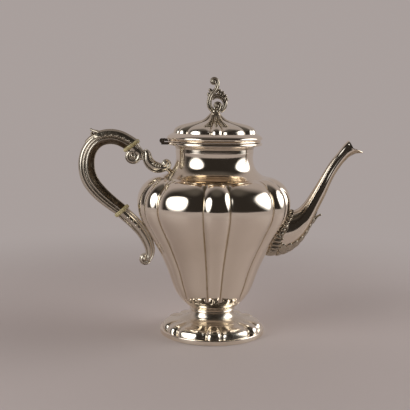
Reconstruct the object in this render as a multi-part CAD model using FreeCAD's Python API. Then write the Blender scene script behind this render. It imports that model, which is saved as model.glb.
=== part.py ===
"""Silver coffee pot: panelled baluster body on a domed foot, hinged lid with an openwork finial,
scroll handle with two heat insulators, and a swan-neck spout.

Millimetres, +Z up. The origin is the centre of the plane the foot stands on. The spout points
along +X, the handle along -X, and the lid hinge turns about a line parallel to Y.
Each function that is listed in PIECES returns the solid or solids of one named piece.
"""

import FreeCAD
import Part
import math
import os

Vec = FreeCAD.Vector
AXIS_Y = Vec(0, 1, 0)
AXIS_Z = Vec(0, 0, 1)
FAR = 400.0  # larger than the whole pot

# ---- driving dimensions -------------------------------------------------------------------
TOTAL_HEIGHT = 246.0
BELLY_RADIUS = 73.4
FOOT_RADIUS = 50.6
NECK_RADIUS = 36.5
LID_RADIUS = 45.5
WALL = 1.0  # sheet of the body, the neck and the spout
LID_WALL = 0.9
FLOOR_THICKNESS = 1.2

# Panels: six wide and six narrow lobes, and a wide one faces the spout and the handle.
LOBE_PAIRS = 6
WIDE_SPAN = 40.0
NARROW_SPAN = 360.0 / LOBE_PAIRS - WIDE_SPAN
BODY_GROOVE = 0.062  # groove depth as a share of the crest radius
LID_GROOVE = 0.070
FOOT_GROOVE = 0.060
BODY_FADE_IN = 0.10  # share of the body's length over which its grooves deepen
BODY_FADE_OUT = 0.09
DOME_FADE = 0.62  # share of the length over which a dome's grooves die out

# Heights of the joints between the pieces that stand on each other.
RIM_HEIGHT = 4.7
STEM_TOP = 22.0
BODY_BOTTOM = 25.0
SHOULDER = 151.6
MOUTH = 184.6
LID_GAP = 0.3
LID_SEAT = MOUTH + LID_GAP
LID_BULGE_Z = 188.5
DOME_BASE = 193.0
DOME_TOP = 210.6
COLLAR_TOP = 212.8

# Outlines as (radius, height) of the lobes' crests, from the bottom up.
BODY_OUTLINE = [
    (21.5, BODY_BOTTOM),
    (26.3, 28.8),
    (33.6, 37.0),
    (38.6, 47.0),
    (43.4, 60.5),
    (53.2, 81.5),
    (65.2, 102.6),
    (71.8, 116.0),
    (BELLY_RADIUS, 127.4),
    (71.0, 138.4),
    (64.8, 146.2),
    (57.2, 150.4),
    (49.2, SHOULDER),
]
NECK_OUTLINE = [
    (49.2, SHOULDER),
    (42.6, 156.0),
    (38.2, 161.6),
    (36.6, 168.0),
    (NECK_RADIUS, 170.6),  # straight from here up to the mouth
]
FOOT_OUTLINE = [
    (48.4, RIM_HEIGHT),
    (46.6, 9.4),
    (42.0, 11.9),
    (35.5, 12.5),
    (27.6, 14.0),
    (22.2, 17.6),
    (20.6, STEM_TOP),
]
DOME_OUTLINE = [
    (39.4, DOME_BASE),
    (38.4, 197.2),
    (33.4, 201.0),
    (25.0, 203.7),
    (15.0, 206.3),
    (8.8, 208.6),
    (5.6, DOME_TOP),
]

NECK_WIRE_Z = 175.2
NECK_WIRE_HALF = 0.8
NECK_WIRE_HEIGHT = 0.7
FLANGE_RADIUS = 45.1  # the flange of the mouth
FLANGE_THICKNESS = 3.0
COVE_FOOT = 178.4  # where the cove under the flange leaves the neck
COVE_REACH = 39.4
COLLAR_HOLE = 17.5
COLLAR_EDGE = 21.0
COLLAR_BULGE = 22.1
FOOT_RIM_HOLE = 48.4
FOOT_RIM_LEDGE = 44.6
FOOT_RIM_SHEET = 1.0

# Spout: pairs of points on its upper and lower edges, (x, z), and its half width along Y.
SPOUT_STATIONS = [
    ((57.0, 113.0), (36.0, 78.0), 15.5),
    ((71.0, 118.4), (52.5, 76.5), 15.0),
    ((79.5, 120.2), (69.5, 79.0), 13.8),
    ((85.2, 124.6), (83.2, 88.6), 12.0),
    ((89.6, 130.2), (94.0, 106.0), 9.8),
    ((94.6, 138.2), (100.6, 120.8), 7.8),
    ((100.4, 148.0), (107.2, 135.0), 6.4),
    ((107.2, 159.4), (113.6, 150.6), 5.4),
    ((114.2, 169.4), (120.4, 162.4), 4.9),
    ((121.2, 177.7), (127.0, 170.6), 4.9),
    ((129.6, 185.4), (134.2, 175.0), 5.3),
    ((141.0, 186.6), (142.0, 175.4), 5.6),
]
# The lip's edge as the side view shows it, from the upper tip to the beak.
LIP_EDGE = [(128.2, 184.0), (131.6, 179.6), (136.0, 179.0), (142.4, 175.6)]
BORDER_WIDTH = 7.0
BORDER_THICKNESS = 1.6
BORDER_HEIGHTS = (45.0, 138.0)  # the part of the body that it lies against
LEAF_EDGE = [(60.0, 84.0), (74.4, 84.6), (82.4, 90.4), (89.0, 98.4), (93.6, 107.6), (97.6, 116.0)]
LEAF_OUTSIDE = [(104.0, 116.0), (112.0, 100.0), (90.0, 60.0), (60.0, 60.0)]
LEAF_THICKNESS = 1.5
LEAF_TIP = [(97.4, 112.0), (100.4, 115.4), (104.0, 115.6)]
SPOUT_AXIS_HEIGHT = 97.0
STRAINER_HOLE = 1.6
STRAINER_X = 55.0
STRAINER_RINGS = [(0, 0.0), (6, 5.4), (12, 10.6)]  # (holes, ring radius)

# Handle: centreline of the grip as (x, z), from the upper insulator to the lower one.
GRIP_PATH = [
    (-80.6, 182.2),
    (-89.0, 186.2),
    (-100.0, 187.9),
    (-111.0, 184.4),
    (-119.0, 175.0),
    (-121.7, 162.5),
    (-118.6, 147.6),
    (-110.2, 136.0),
    (-89.7, 118.9),
]
GRIP_HALF_WIDTHS = [6.9, 6.7, 6.6, 7.0, 7.6, 7.8, 7.5, 7.0, 6.3]
GRIP_HALF_DEPTH = 5.7
GRIP_WALL = 1.4
THUMB_LEAF_PATH = [
    (-83.0, 189.0),
    (-90.0, 192.6),
    (-99.5, 194.6),
    (-108.0, 193.6),
    (-113.5, 192.8),
    (-117.4, 194.6),
]
UPPER_INSULATOR = ((-79.0, 180.1), 8.3)  # centre, half height
LOWER_INSULATOR = ((-88.2, 117.6), 7.5)
INSULATOR_THICKNESS = 2.6
INSULATOR_HALF_DEPTH = 6.4
TENON_RADIUS = 3.6
TENON_LENGTH = 9.0
PIN_RADIUS = 0.8
PIN_INSET = 5.0  # from the insulator's face to the pin
DRILL_EXTRA = 10.0

VOLUTE = ((-77.2, 170.6), 8.9)  # centre and radius of the upper socket's scroll
VOLUTE_HALF_DEPTH = 5.4
BRACKET_PATH = [(-64.6, 173.6), (-63.3, 167.2), (-59.6, 162.2), (-54.4, 159.8), (-49.6, 159.8)]
BRACKET_HALF_WIDTHS = [3.0, 3.9, 4.3, 4.8, 5.2]
BRACKET_HALF_DEPTH = 4.6
BRACKET_CURL = ((-46.3, 162.7), 5.4)
BRACKET_LINK = [(-69.5, 173.4), (-66.0, 173.2), (-63.0, 171.6)]  # joins the two scrolls
BRACKET_FOOT = [(-48.6, 160.4), (-45.4, 157.8), (-40.6, 154.6)]  # runs into the neck's flare
LOWER_SOCKET_PATH = [
    (-86.4, 115.8),
    (-77.6, 108.0),
    (-70.4, 100.4),
    (-64.6, 91.4),
    (-61.1, 82.6),
    (-61.0, 76.0),
    (-63.0, 70.8),
]
LOWER_SOCKET_HALF_WIDTHS = [6.0, 5.9, 5.8, 5.4, 5.0, 4.6, 3.8]
LOWER_CURL = ((-65.6, 71.6), 6.6)

# Hinge: its axis is parallel to Y through (HINGE_X, HINGE_Z).
HINGE_X = -50.0
HINGE_Z = 185.6
KNUCKLE_RADIUS = 2.3
HINGE_PIN_RADIUS = 1.0
HINGE_HALF_LENGTH = 7.0
LID_KNUCKLE_HALF_LENGTH = 2.3
HINGE_TAB = 2.5
HINGE_PLAY = 0.1
HINGE_ROOM = 0.35  # clearance round a turning knuckle

STUD_RADIUS = 1.5
FINIAL_HALF_DEPTH = 2.4
FINIAL_TOP_VOLUTE = ((-1.8, 241.7), TOTAL_HEIGHT - 241.7)  # centre and radius
FINIAL_LOW_VOLUTE = ((1.9, 219.1), 3.6)
FINIAL_STEM = [(0.9, COLLAR_TOP - 0.8), (0.8, 214.2), (0.2, 216.6)]
FINIAL_S = [
    (3.0, 243.0),
    (2.9, 238.8),
    (0.2, 234.4),
    (-3.2, 230.6),
    (-6.0, 225.4),
    (-5.4, 218.6),
    (-1.0, 214.8),
]
FINIAL_ARCH = [
    (-4.6, 224.6),
    (-1.6, 227.8),
    (2.8, 228.2),
    (6.8, 225.9),
    (9.2, 221.6),
    (8.0, 217.4),
]
FINIAL_SPRIGS = [
    ((-4.6, 229.0), (-8.4, 231.5)),
    ((-3.0, 231.6), (-8.1, 234.6)),
    ((1.2, 230.2), (3.6, 235.8)),
    ((4.6, 229.4), (7.6, 234.2)),
    ((7.4, 227.2), (10.6, 231.2)),
    ((9.2, 224.4), (12.2, 228.2)),
]
NUT_RADIUS = 4.4
NUT_HEIGHT = 3.0

QUARTER_REACH = 4 / 3 * math.tan(math.pi / 8)  # handle of the curve nearest to a quarter circle
OUTLINE_SECTIONS = 22


# ---- curves and solids --------------------------------------------------------------------
def side(x, z, y=0.0):
    """A point given by its place in the side view."""
    return Vec(x, y, z)


def spline(points):
    curve = Part.BSplineCurve()
    curve.interpolate(points)
    return curve


def smoothstep(t):
    t = min(1.0, max(0.0, t))
    return t * t * (3 - 2 * t)


def sampled(outline, count):
    """Points on the smooth curve through an outline, at equal lengths, with outward normals."""
    curve = spline([side(r, z) for r, z in outline])
    samples = []
    for i in range(count):
        at = curve.parameterAtDistance(curve.length() * i / (count - 1), curve.FirstParameter)
        point = curve.value(at)
        along = curve.tangent(at)[0]
        samples.append((point, Vec(along.z, 0, -along.x)))
    return samples


def turned(points_or_edges):
    """The ring made by turning a closed profile about the Z axis."""
    edges = [e for e in points_or_edges if isinstance(e, Part.Edge)]
    if not edges:
        corners = [side(r, z) for r, z in points_or_edges]
        edges = [Part.LineSegment(a, b).toShape() for a, b in zip(corners, corners[1:] + corners[:1])]
    face = Part.Face(Part.Wire(Part.__sortEdges__(edges)))
    return face.revolve(Vec(0, 0, 0), AXIS_Z, 360)


def line(a, b):
    return Part.LineSegment(side(*a), side(*b)).toShape()


def arc(a, through, b):
    return Part.Arc(side(*a), side(*through), side(*b)).toShape()


def polar(radius, degrees, z):
    return Vec(radius * math.cos(math.radians(degrees)), radius * math.sin(math.radians(degrees)), z)


def lobed_wire(crest, depth, z):
    """A closed wire of alternate wide and narrow arcs that meet in grooves of this depth."""
    edges = []
    for pair in range(LOBE_PAIRS):
        wide_middle = pair * (WIDE_SPAN + NARROW_SPAN)
        narrow_middle = wide_middle + (WIDE_SPAN + NARROW_SPAN) / 2
        for middle, span in ((wide_middle, WIDE_SPAN), (narrow_middle, NARROW_SPAN)):
            ends = [polar(crest - depth, middle + s * span / 2, z) for s in (-1, 1)]
            edges.append(Part.Arc(ends[0], polar(crest, middle, z), ends[1]).toShape())
    return Part.Wire(edges)


def lobed_solid(outline, groove, fade_in, fade_out, inset=0.0, keep=None, extra=(), skirt=0.0):
    """A lobed loft along an outline. The grooves deepen over the share fade_in of its length and
    die out over the share fade_out. inset moves the surface inwards, keep drops the sections whose
    height it refuses, extra adds plain round sections as (radius, height), and skirt prolongs the
    lowest section downwards."""
    sections = []
    for i, (point, normal) in enumerate(sampled(outline, OUTLINE_SECTIONS)):
        t = i / (OUTLINE_SECTIONS - 1)
        rise = smoothstep(t / fade_in) if fade_in else 1.0
        depth = point.x * groove * rise * smoothstep((1 - t) / fade_out)
        moved = point - normal * inset
        if keep is None or keep(moved.z):
            sections.append((moved.z, moved.x, depth))
    if skirt:
        low, radius, depth = min(sections)
        sections.append((low - skirt, radius, depth))
    sections += [(z, r, 0.0) for r, z in extra]
    sections.sort()
    return Part.makeLoft([lobed_wire(r, d, z) for z, r, d in sections], True)


def oval(centre, across, half_across, half_depth):
    """A closed oval wire in the plane of across and Y, made of four smooth quarters."""

    def at(quarter, reach):
        """The corner of a quarter, moved along the oval's tangent there."""
        c, s = ((1, 0), (0, 1), (-1, 0), (0, -1))[quarter % 4]
        x, y = half_across * (c - reach * s), half_depth * (s + reach * c)
        return centre + across * x + AXIS_Y * y

    edges = []
    for q in range(4):
        curve = Part.BezierCurve()
        curve.setPoles([at(q, 0), at(q, QUARTER_REACH), at(q + 1, -QUARTER_REACH), at(q + 1, 0)])
        edges.append(curve.toShape())
    return Part.Wire(edges)


def bar(path, half_widths, half_depths, sections=None):
    """A curved bar of oval section along a path of (x, z) points."""
    if not isinstance(half_depths, list):
        half_depths = [half_depths] * len(half_widths)
    curve = spline([side(x, z) for x, z in path])
    count = sections or 2 * len(path) - 1
    wires = []
    for i in range(count):
        share = i / (count - 1)
        at = curve.parameterAtDistance(curve.length() * share, curve.FirstParameter)
        along = curve.tangent(at)[0]
        wires.append(
            oval(
                curve.value(at),
                Vec(-along.z, 0, along.x),
                between(half_widths, share),
                between(half_depths, share),
            )
        )
    return Part.makeLoft(wires, True)


def between(values, share):
    """The value at a share of the way along a list of evenly spaced values."""
    at = share * (len(values) - 1)
    low = min(int(at), len(values) - 2)
    return values[low] + (values[low + 1] - values[low]) * (at - low)


def rod(centre, direction, radius, length):
    """A cylinder centred on a point."""
    direction = Vec(direction).normalize()
    return Part.makeCylinder(radius, length, centre - direction * (length / 2), direction)


def slab(points, half_depth=FAR):
    """A prism along Y over a side-view polygon."""
    corners = [side(x, z, -half_depth) for x, z in points]
    face = Part.Face(Part.makePolygon(corners + corners[:1]))
    return face.extrude(Vec(0, 2 * half_depth, 0))


def hollow(outer, *inner):
    for solid in inner:
        outer = outer.cut(solid)
    return outer


def largest(shape):
    return max(shape.Solids, key=lambda solid: solid.Volume)


# ---- body ---------------------------------------------------------------------------------
def body_solid():
    return lobed_solid(BODY_OUTLINE, BODY_GROOVE, BODY_FADE_IN, BODY_FADE_OUT)


def body_shell():
    """The raised wall and floor, pierced behind the spout."""
    floor = BODY_BOTTOM + FLOOR_THICKNESS
    floor_radius = BODY_OUTLINE[0][0] - WALL
    opening = BODY_OUTLINE[-1][0] - 2 * WALL
    inner = lobed_solid(
        BODY_OUTLINE,
        BODY_GROOVE,
        BODY_FADE_IN,
        BODY_FADE_OUT,
        inset=WALL,
        keep=lambda z: floor + 0.3 < z < SHOULDER - 1.3,
        extra=[(floor_radius, floor), (opening, SHOULDER - 0.6), (opening, SHOULDER + 2)],
    )
    holes = []
    for count, ring in STRAINER_RINGS:
        for i in range(max(1, count)):
            angle = 2 * math.pi * i / max(1, count)
            y, rise = ring * math.cos(angle), ring * math.sin(angle)
            centre = Vec(STRAINER_X, y, SPOUT_AXIS_HEIGHT + rise)
            holes.append(rod(centre, Vec(1, 0, 0), STRAINER_HOLE, STRAINER_X))
    return hollow(body_solid(), inner, Part.makeCompound(holes))


def neck():
    samples = sampled(NECK_OUTLINE, OUTLINE_SECTIONS)
    top_point, _ = samples[-1]
    samples[-1] = (top_point, Vec(1, 0, 0))
    outer = spline([p for p, _ in samples])
    inner = spline([p - n * WALL for p, n in samples])
    low_point, low_normal = samples[0]
    inner_radius = NECK_RADIUS - WALL
    edges = [
        outer.toShape(),
        line((NECK_RADIUS, top_point.z), (NECK_RADIUS, MOUTH)),
        line((NECK_RADIUS, MOUTH), (inner_radius, MOUTH)),
        line((inner_radius, MOUTH), (inner_radius, top_point.z)),
        inner.toShape(),
        Part.LineSegment(low_point - low_normal * WALL, low_point).toShape(),
    ]
    below = Part.makeBox(FAR, FAR, FAR, Vec(-FAR / 2, -FAR / 2, SHOULDER - FAR))
    return turned(edges).cut(below)


def neck_wire():
    """The half-round wire round the neck."""
    low = (NECK_RADIUS, NECK_WIRE_Z - NECK_WIRE_HALF)
    high = (NECK_RADIUS, NECK_WIRE_Z + NECK_WIRE_HALF)
    crest = (NECK_RADIUS + NECK_WIRE_HEIGHT, NECK_WIRE_Z)
    return turned([line(low, high), arc(high, crest, low)])


def mouth_rim():
    """The flange that the lid rests on, with a rounded edge and a small cove underneath."""
    half = FLANGE_THICKNESS / 2
    bead, low = FLANGE_RADIUS - half, MOUTH - FLANGE_THICKNESS
    hollow_of_cove = (NECK_RADIUS + 0.8, COVE_FOOT + 2.2)
    return turned(
        [
            line((NECK_RADIUS, COVE_FOOT), (NECK_RADIUS, MOUTH)),
            line((NECK_RADIUS, MOUTH), (bead, MOUTH)),
            arc((bead, MOUTH), (FLANGE_RADIUS, MOUTH - half), (bead, low)),
            line((bead, low), (COVE_REACH, low)),
            arc((COVE_REACH, low), hollow_of_cove, (NECK_RADIUS, COVE_FOOT)),
        ]
    )


def stem_collar():
    """The bead between the body and the foot."""
    inner, edge = COLLAR_HOLE, COLLAR_EDGE
    bulge = (COLLAR_BULGE, (STEM_TOP + BODY_BOTTOM) / 2)
    return turned(
        [
            line((inner, STEM_TOP), (edge, STEM_TOP)),
            arc((edge, STEM_TOP), bulge, (edge, BODY_BOTTOM)),
            line((edge, BODY_BOTTOM), (inner, BODY_BOTTOM)),
            line((inner, BODY_BOTTOM), (inner, STEM_TOP)),
        ]
    )


def foot_dome():
    outer = lobed_solid(FOOT_OUTLINE, FOOT_GROOVE, 0.0, DOME_FADE)
    inner = lobed_solid(
        FOOT_OUTLINE,
        FOOT_GROOVE,
        0.0,
        DOME_FADE,
        inset=WALL,
        keep=lambda z: z < STEM_TOP - 1,
        extra=[(FOOT_OUTLINE[-1][0] - WALL, STEM_TOP + 2)],
        skirt=1.0,
    )
    return hollow(outer, inner)


def foot_rim():
    """The applied band that the pot stands on, with a ledge for the dome."""
    outer, rounding, sheet = FOOT_RADIUS, 0.5, FOOT_RIM_SHEET
    corner = rounding * (1 - math.sqrt(0.5))
    top, under = RIM_HEIGHT, RIM_HEIGHT - sheet
    return turned(
        [
            line((FOOT_RIM_HOLE, 0), (outer - rounding, 0)),
            arc((outer - rounding, 0), (outer - corner, corner), (outer, rounding)),
            line((outer, rounding), (outer, top - rounding)),
            arc((outer, top - rounding), (outer - corner, top - corner), (outer - rounding, top)),
            line((outer - rounding, top), (FOOT_RIM_LEDGE, top)),
            line((FOOT_RIM_LEDGE, top), (FOOT_RIM_LEDGE, under)),
            line((FOOT_RIM_LEDGE, under), (FOOT_RIM_HOLE, under)),
            line((FOOT_RIM_HOLE, under), (FOOT_RIM_HOLE, 0)),
        ]
    )


# ---- spout --------------------------------------------------------------------------------
def spout_solid(grow=0.0, stations=SPOUT_STATIONS):
    wires = []
    for upper, lower, half_depth in stations:
        top, bottom = side(*upper), side(*lower)
        across = (top - bottom).normalize()
        half = (top - bottom).Length / 2
        wires.append(oval((top + bottom) / 2, across, half + grow, half_depth + grow))
    return Part.makeLoft(wires, True)


def above_lip():
    """What is cut away to open the lip."""
    high = 2 * TOTAL_HEIGHT
    (first_x, first_z), (_, last_z) = LIP_EDGE[0], LIP_EDGE[-1]
    return slab([(first_x - 3.0, first_z + 2.6), *LIP_EDGE, (high, last_z - 4), (high, high)])


def spout_half(y_low):
    """One of the two cast halves, soldered along the back and the underside."""
    room = Part.makeBox(FAR, FAR, FAR, Vec(0, y_low, 0))
    return hollow(spout_solid(), spout_solid(-WALL), body_solid(), above_lip()).common(room)


def spout_root_border():
    """The cast leaf border that covers the seam between spout and body."""
    low, high = BORDER_HEIGHTS
    reach = lobed_solid(
        BODY_OUTLINE,
        BODY_GROOVE,
        BODY_FADE_IN,
        BODY_FADE_OUT,
        inset=-BORDER_WIDTH,
        keep=lambda z: low < z < high,
    )
    band = spout_solid(BORDER_THICKNESS, SPOUT_STATIONS[:5]).common(reach)
    return hollow(band, body_solid(), spout_solid())


def spout_keel_leaf():
    """The acanthus leaf under the spout, which ends in a small free curl."""
    leaf = spout_solid(LEAF_THICKNESS, SPOUT_STATIONS[1:7]).common(slab(LEAF_EDGE + LEAF_OUTSIDE))
    tip = bar(LEAF_TIP, [1.5, 1.2, 0.8], [4.2, 3.0, 1.6])
    return hollow(leaf.fuse(tip), body_solid(), spout_solid(), spout_root_border())


# ---- handle -------------------------------------------------------------------------------
def grip_solid(inset=0.0):
    half_widths = [w - inset for w in GRIP_HALF_WIDTHS]
    return bar(GRIP_PATH, half_widths, GRIP_HALF_DEPTH - inset, sections=25)


def insulator_frame(which):
    """The centre of an insulator, the direction of the handle through it, and its height line."""
    (x, z), _ = which
    along = Vec(0.592, 0, -0.806) if which is UPPER_INSULATOR else Vec(0.659, 0, -0.752)
    return side(x, z), along, Vec(-along.z, 0, along.x)


def insulator_faces(which):
    """A disc that fills everything between the planes of an insulator's two faces."""
    centre, along, _ = insulator_frame(which)
    return rod(centre, along, 4 * which[1], INSULATOR_THICKNESS)


def tenon(which):
    centre, along, _ = insulator_frame(which)
    return rod(centre, along, TENON_RADIUS, 2 * TENON_LENGTH + INSULATOR_THICKNESS)


def pin_pair(which, extra=0.0):
    """The two cross pins of an insulator. extra lengthens them, to drill the holes."""
    centre, along, _ = insulator_frame(which)
    offset = INSULATOR_THICKNESS / 2 + PIN_INSET
    length = 2 * (GRIP_HALF_DEPTH - 0.25) + extra
    return [rod(centre + along * (s * offset), AXIS_Y, PIN_RADIUS, length) for s in (-1, 1)]


def insulator(which):
    """The disc with its two tenons, cross-bored for the pins."""
    centre, along, across = insulator_frame(which)
    start = centre - along * (INSULATOR_THICKNESS / 2)
    disc = Part.Face(oval(start, across, which[1], INSULATOR_HALF_DEPTH))
    solid = disc.extrude(along * INSULATOR_THICKNESS).fuse(tenon(which))
    return hollow(solid, *pin_pair(which, DRILL_EXTRA))


def handle_grip():
    """The hollow C-scroll, with solid ends that are bored for the insulators' tenons."""
    half_widths = [w - GRIP_WALL for w in GRIP_HALF_WIDTHS[1:-1]]
    cavity = bar(GRIP_PATH[1:-1], half_widths, GRIP_HALF_DEPTH - GRIP_WALL, sections=19)
    grip = hollow(grip_solid(), cavity)
    for which in (UPPER_INSULATOR, LOWER_INSULATOR):
        grip = hollow(grip, insulator_faces(which), tenon(which), *pin_pair(which, DRILL_EXTRA))
    return largest(grip)


def handle_thumb_leaf():
    """The acanthus leaf on top of the grip, with a raised tip for the thumb."""
    leaf = bar(THUMB_LEAF_PATH, [1.2, 1.3, 1.3, 1.4, 1.3, 0.8], [4.6, 5.2, 5.4, 4.6, 3.2, 1.4])
    return hollow(leaf, grip_solid(), insulator_faces(UPPER_INSULATOR))


def upper_socket():
    """The cast scroll that holds the upper insulator."""
    centre, along, across = insulator_frame(UPPER_INSULATOR)
    (x, z), radius = VOLUTE
    start = centre + along * (INSULATOR_THICKNESS / 2)
    wires = []
    for step, half_height in enumerate((7.0, 6.6, 5.6)):
        middle = start + along * (4.5 * step) + across * (0.3 * step)
        wires.append(oval(middle, across, half_height, GRIP_HALF_DEPTH - 0.2 * step))
    scroll = rod(side(x, z), AXIS_Y, radius, 2 * VOLUTE_HALF_DEPTH).fuse(Part.makeLoft(wires, True))
    scroll = hollow(scroll, insulator_faces(UPPER_INSULATOR), tenon(UPPER_INSULATOR))
    return hollow(scroll, *pin_pair(UPPER_INSULATOR, DRILL_EXTRA))


def upper_bracket():
    """The second scroll, which is soldered to the flare of the neck."""
    (x, z), radius = BRACKET_CURL
    curl = rod(side(x, z), AXIS_Y, radius, 2 * BRACKET_HALF_DEPTH + 0.6)
    link = bar(BRACKET_LINK, [2.6, 2.4, 2.6], 3.6)
    foot = bar(BRACKET_FOOT, [3.4, 3.4, 3.4], 4.0)
    scroll = bar(BRACKET_PATH, BRACKET_HALF_WIDTHS, BRACKET_HALF_DEPTH).fuse(curl).fuse(link).fuse(foot)
    return largest(hollow(scroll, neck_filled(), body_solid(), upper_socket()))


def neck_filled():
    return neck().fuse(Part.makeCylinder(NECK_RADIUS - WALL / 2, MOUTH - SHOULDER, Vec(0, 0, SHOULDER)))


def lower_socket():
    """The cast socket that runs down the body and ends in a scroll."""
    (x, z), radius = LOWER_CURL
    curl = rod(side(x, z), AXIS_Y, radius, 9.6)
    scroll = bar(LOWER_SOCKET_PATH, LOWER_SOCKET_HALF_WIDTHS, 5.2, sections=15).fuse(curl)
    scroll = hollow(scroll, body_solid(), insulator_faces(LOWER_INSULATOR), tenon(LOWER_INSULATOR))
    return largest(hollow(scroll, *pin_pair(LOWER_INSULATOR, DRILL_EXTRA)))


# ---- hinge --------------------------------------------------------------------------------
def knuckle(y_low, y_high, radius=KNUCKLE_RADIUS):
    return Part.makeCylinder(radius, y_high - y_low, Vec(HINGE_X, y_low, HINGE_Z), AXIS_Y)


def hinge_pin():
    return knuckle(-HINGE_HALF_LENGTH - 0.3, HINGE_HALF_LENGTH + 0.3, HINGE_PIN_RADIUS)


def body_hinge_leaf():
    """Two knuckles on a tab that is soldered to the mouth rim."""
    inner = LID_KNUCKLE_HALF_LENGTH + HINGE_PLAY
    corner = Vec(HINGE_X - 0.6, -HINGE_HALF_LENGTH, MOUTH - 2.7)
    tab = Part.makeBox(9, 2 * HINGE_HALF_LENGTH, HINGE_TAB, corner)
    leaf = tab.fuse(knuckle(-HINGE_HALF_LENGTH, -inner)).fuse(knuckle(inner, HINGE_HALF_LENGTH))
    room = knuckle(-inner, inner, KNUCKLE_RADIUS + HINGE_ROOM)
    inside = Part.makeCylinder(FLANGE_RADIUS - 2, TOTAL_HEIGHT, Vec(0, 0, 0))
    return hollow(leaf, room, mouth_rim(), inside, hinge_bore())


def hinge_bore(play=0.0):
    return knuckle(-FAR / 4, FAR / 4, HINGE_PIN_RADIUS + play)


def lid_hinge_leaf():
    """The middle knuckle on a tab that is soldered to the lid rim."""
    half = LID_KNUCKLE_HALF_LENGTH
    low, clear = HINGE_Z - 0.4, HINGE_X + KNUCKLE_RADIUS + HINGE_ROOM
    tab = Part.makeBox(8, 2 * half, HINGE_TAB, Vec(HINGE_X, -half, low))
    pad = Part.makeBox(4, 2 * HINGE_HALF_LENGTH, HINGE_TAB, Vec(clear, -HINGE_HALF_LENGTH, low))
    leaf = tab.fuse(pad).fuse(knuckle(-half, half))
    return hollow(leaf, lid_rim_filled(), hinge_bore(0.05))


# ---- lid ----------------------------------------------------------------------------------
LID_RIM_OUTER = [(43.2, LID_SEAT), (LID_RADIUS, LID_BULGE_Z), (42.6, 192.2)]


def lid_rim():
    """The hollow moulding round the lid, with a flat ledge for the dome."""
    bottom, bulge, shoulder = LID_RIM_OUTER
    sheet, ledge, seat = 1.1, 35.9, 38.0
    return turned(
        [
            line((seat, LID_SEAT), bottom),
            arc(bottom, bulge, shoulder),
            line(shoulder, (39.9, DOME_BASE)),
            line((39.9, DOME_BASE), (ledge, DOME_BASE)),
            line((ledge, DOME_BASE), (ledge, DOME_BASE - sheet)),
            line((ledge, DOME_BASE - sheet), (39.8, DOME_BASE - sheet)),
            line((39.8, DOME_BASE - sheet), (42.0, 191.2)),
            arc((42.0, 191.2), (bulge[0] - sheet, LID_BULGE_Z), (42.5, LID_SEAT + sheet)),
            line((42.5, LID_SEAT + sheet), (seat, LID_SEAT + sheet)),
            line((seat, LID_SEAT + sheet), (seat, LID_SEAT)),
        ]
    )


def lid_rim_filled():
    bottom, bulge, shoulder = LID_RIM_OUTER
    return turned(
        [
            line((0, LID_SEAT), bottom),
            arc(bottom, bulge, shoulder),
            line(shoulder, (0, shoulder[1])),
            line((0, shoulder[1]), (0, LID_SEAT)),
        ]
    )


def lid_bezel():
    """The ring that drops into the neck and keeps the lid in place."""
    outer, sheet, reach = 34.7, 1.0, 6.0
    return turned(
        [
            (outer - sheet, LID_SEAT - reach),
            (outer, LID_SEAT - reach),
            (outer, LID_SEAT),
            (38.0, LID_SEAT),
            (38.0, LID_SEAT + 1.1),
            (outer - sheet, LID_SEAT + 1.1),
        ]
    )


def lid_dome():
    outer = lobed_solid(DOME_OUTLINE, LID_GROOVE, 0.0, DOME_FADE)
    ceiling = DOME_TOP - 1.1
    inner = lobed_solid(
        DOME_OUTLINE,
        LID_GROOVE,
        0.0,
        DOME_FADE,
        inset=LID_WALL,
        keep=lambda z: z < ceiling - 0.5,
        extra=[(4.9, ceiling)],
        skirt=1.0,
    )
    return hollow(outer, inner, stud(0.1))


def finial_collar():
    low, high = DOME_TOP, COLLAR_TOP
    return turned(
        [
            line((STUD_RADIUS, low), (5.0, low)),
            arc((5.0, low), (5.5, low + 0.5), (5.0, low + 1.0)),
            arc((5.0, low + 1.0), (3.6, low + 1.5), (3.2, high)),
            line((3.2, high), (STUD_RADIUS, high)),
            line((STUD_RADIUS, high), (STUD_RADIUS, low)),
        ]
    )


def stud(grow=0.0):
    return Part.makeCylinder(STUD_RADIUS + grow, 12.0, Vec(0, 0, COLLAR_TOP - 8.0))


def finial_stud():
    return stud()


def finial_nut():
    height = DOME_TOP - 1.1 - NUT_HEIGHT
    corners = [polar(NUT_RADIUS, 60 * i, height) for i in range(7)]
    return hollow(Part.Face(Part.makePolygon(corners)).extrude(Vec(0, 0, NUT_HEIGHT)), stud())


def finial():
    """Openwork of cast scrolls: an S that ends in a volute, an arch over an inner volute, and sprigs."""
    depth = FINIAL_HALF_DEPTH
    (top_x, top_z), top_radius = FINIAL_TOP_VOLUTE
    (low_x, low_z), low_radius = FINIAL_LOW_VOLUTE
    below = Part.makeBox(FAR, FAR, FAR, Vec(-FAR / 2, -FAR / 2, COLLAR_TOP - FAR))
    whole = bar(FINIAL_STEM, [2.6, 2.5, 3.2], depth).cut(below)
    strokes = [
        bar(FINIAL_S, [1.5, 1.6, 1.8, 1.9, 2.1, 2.1, 1.6], depth),
        bar(FINIAL_ARCH, [1.9, 2.1, 2.1, 2.0, 1.9, 1.3], depth),
        rod(side(top_x, top_z), AXIS_Y, top_radius, 2 * depth),
        rod(side(low_x, low_z), AXIS_Y, low_radius, 2 * depth),
    ]
    for root, tip in FINIAL_SPRIGS:
        middle = ((root[0] + tip[0]) / 2, (root[1] + tip[1]) / 2 + 0.4)
        strokes.append(bar([root, middle, tip], [1.6, 1.4, 0.7], depth * 0.8))
    for stroke in strokes:
        whole = whole.fuse(stroke)
    return hollow(whole, stud())


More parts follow.
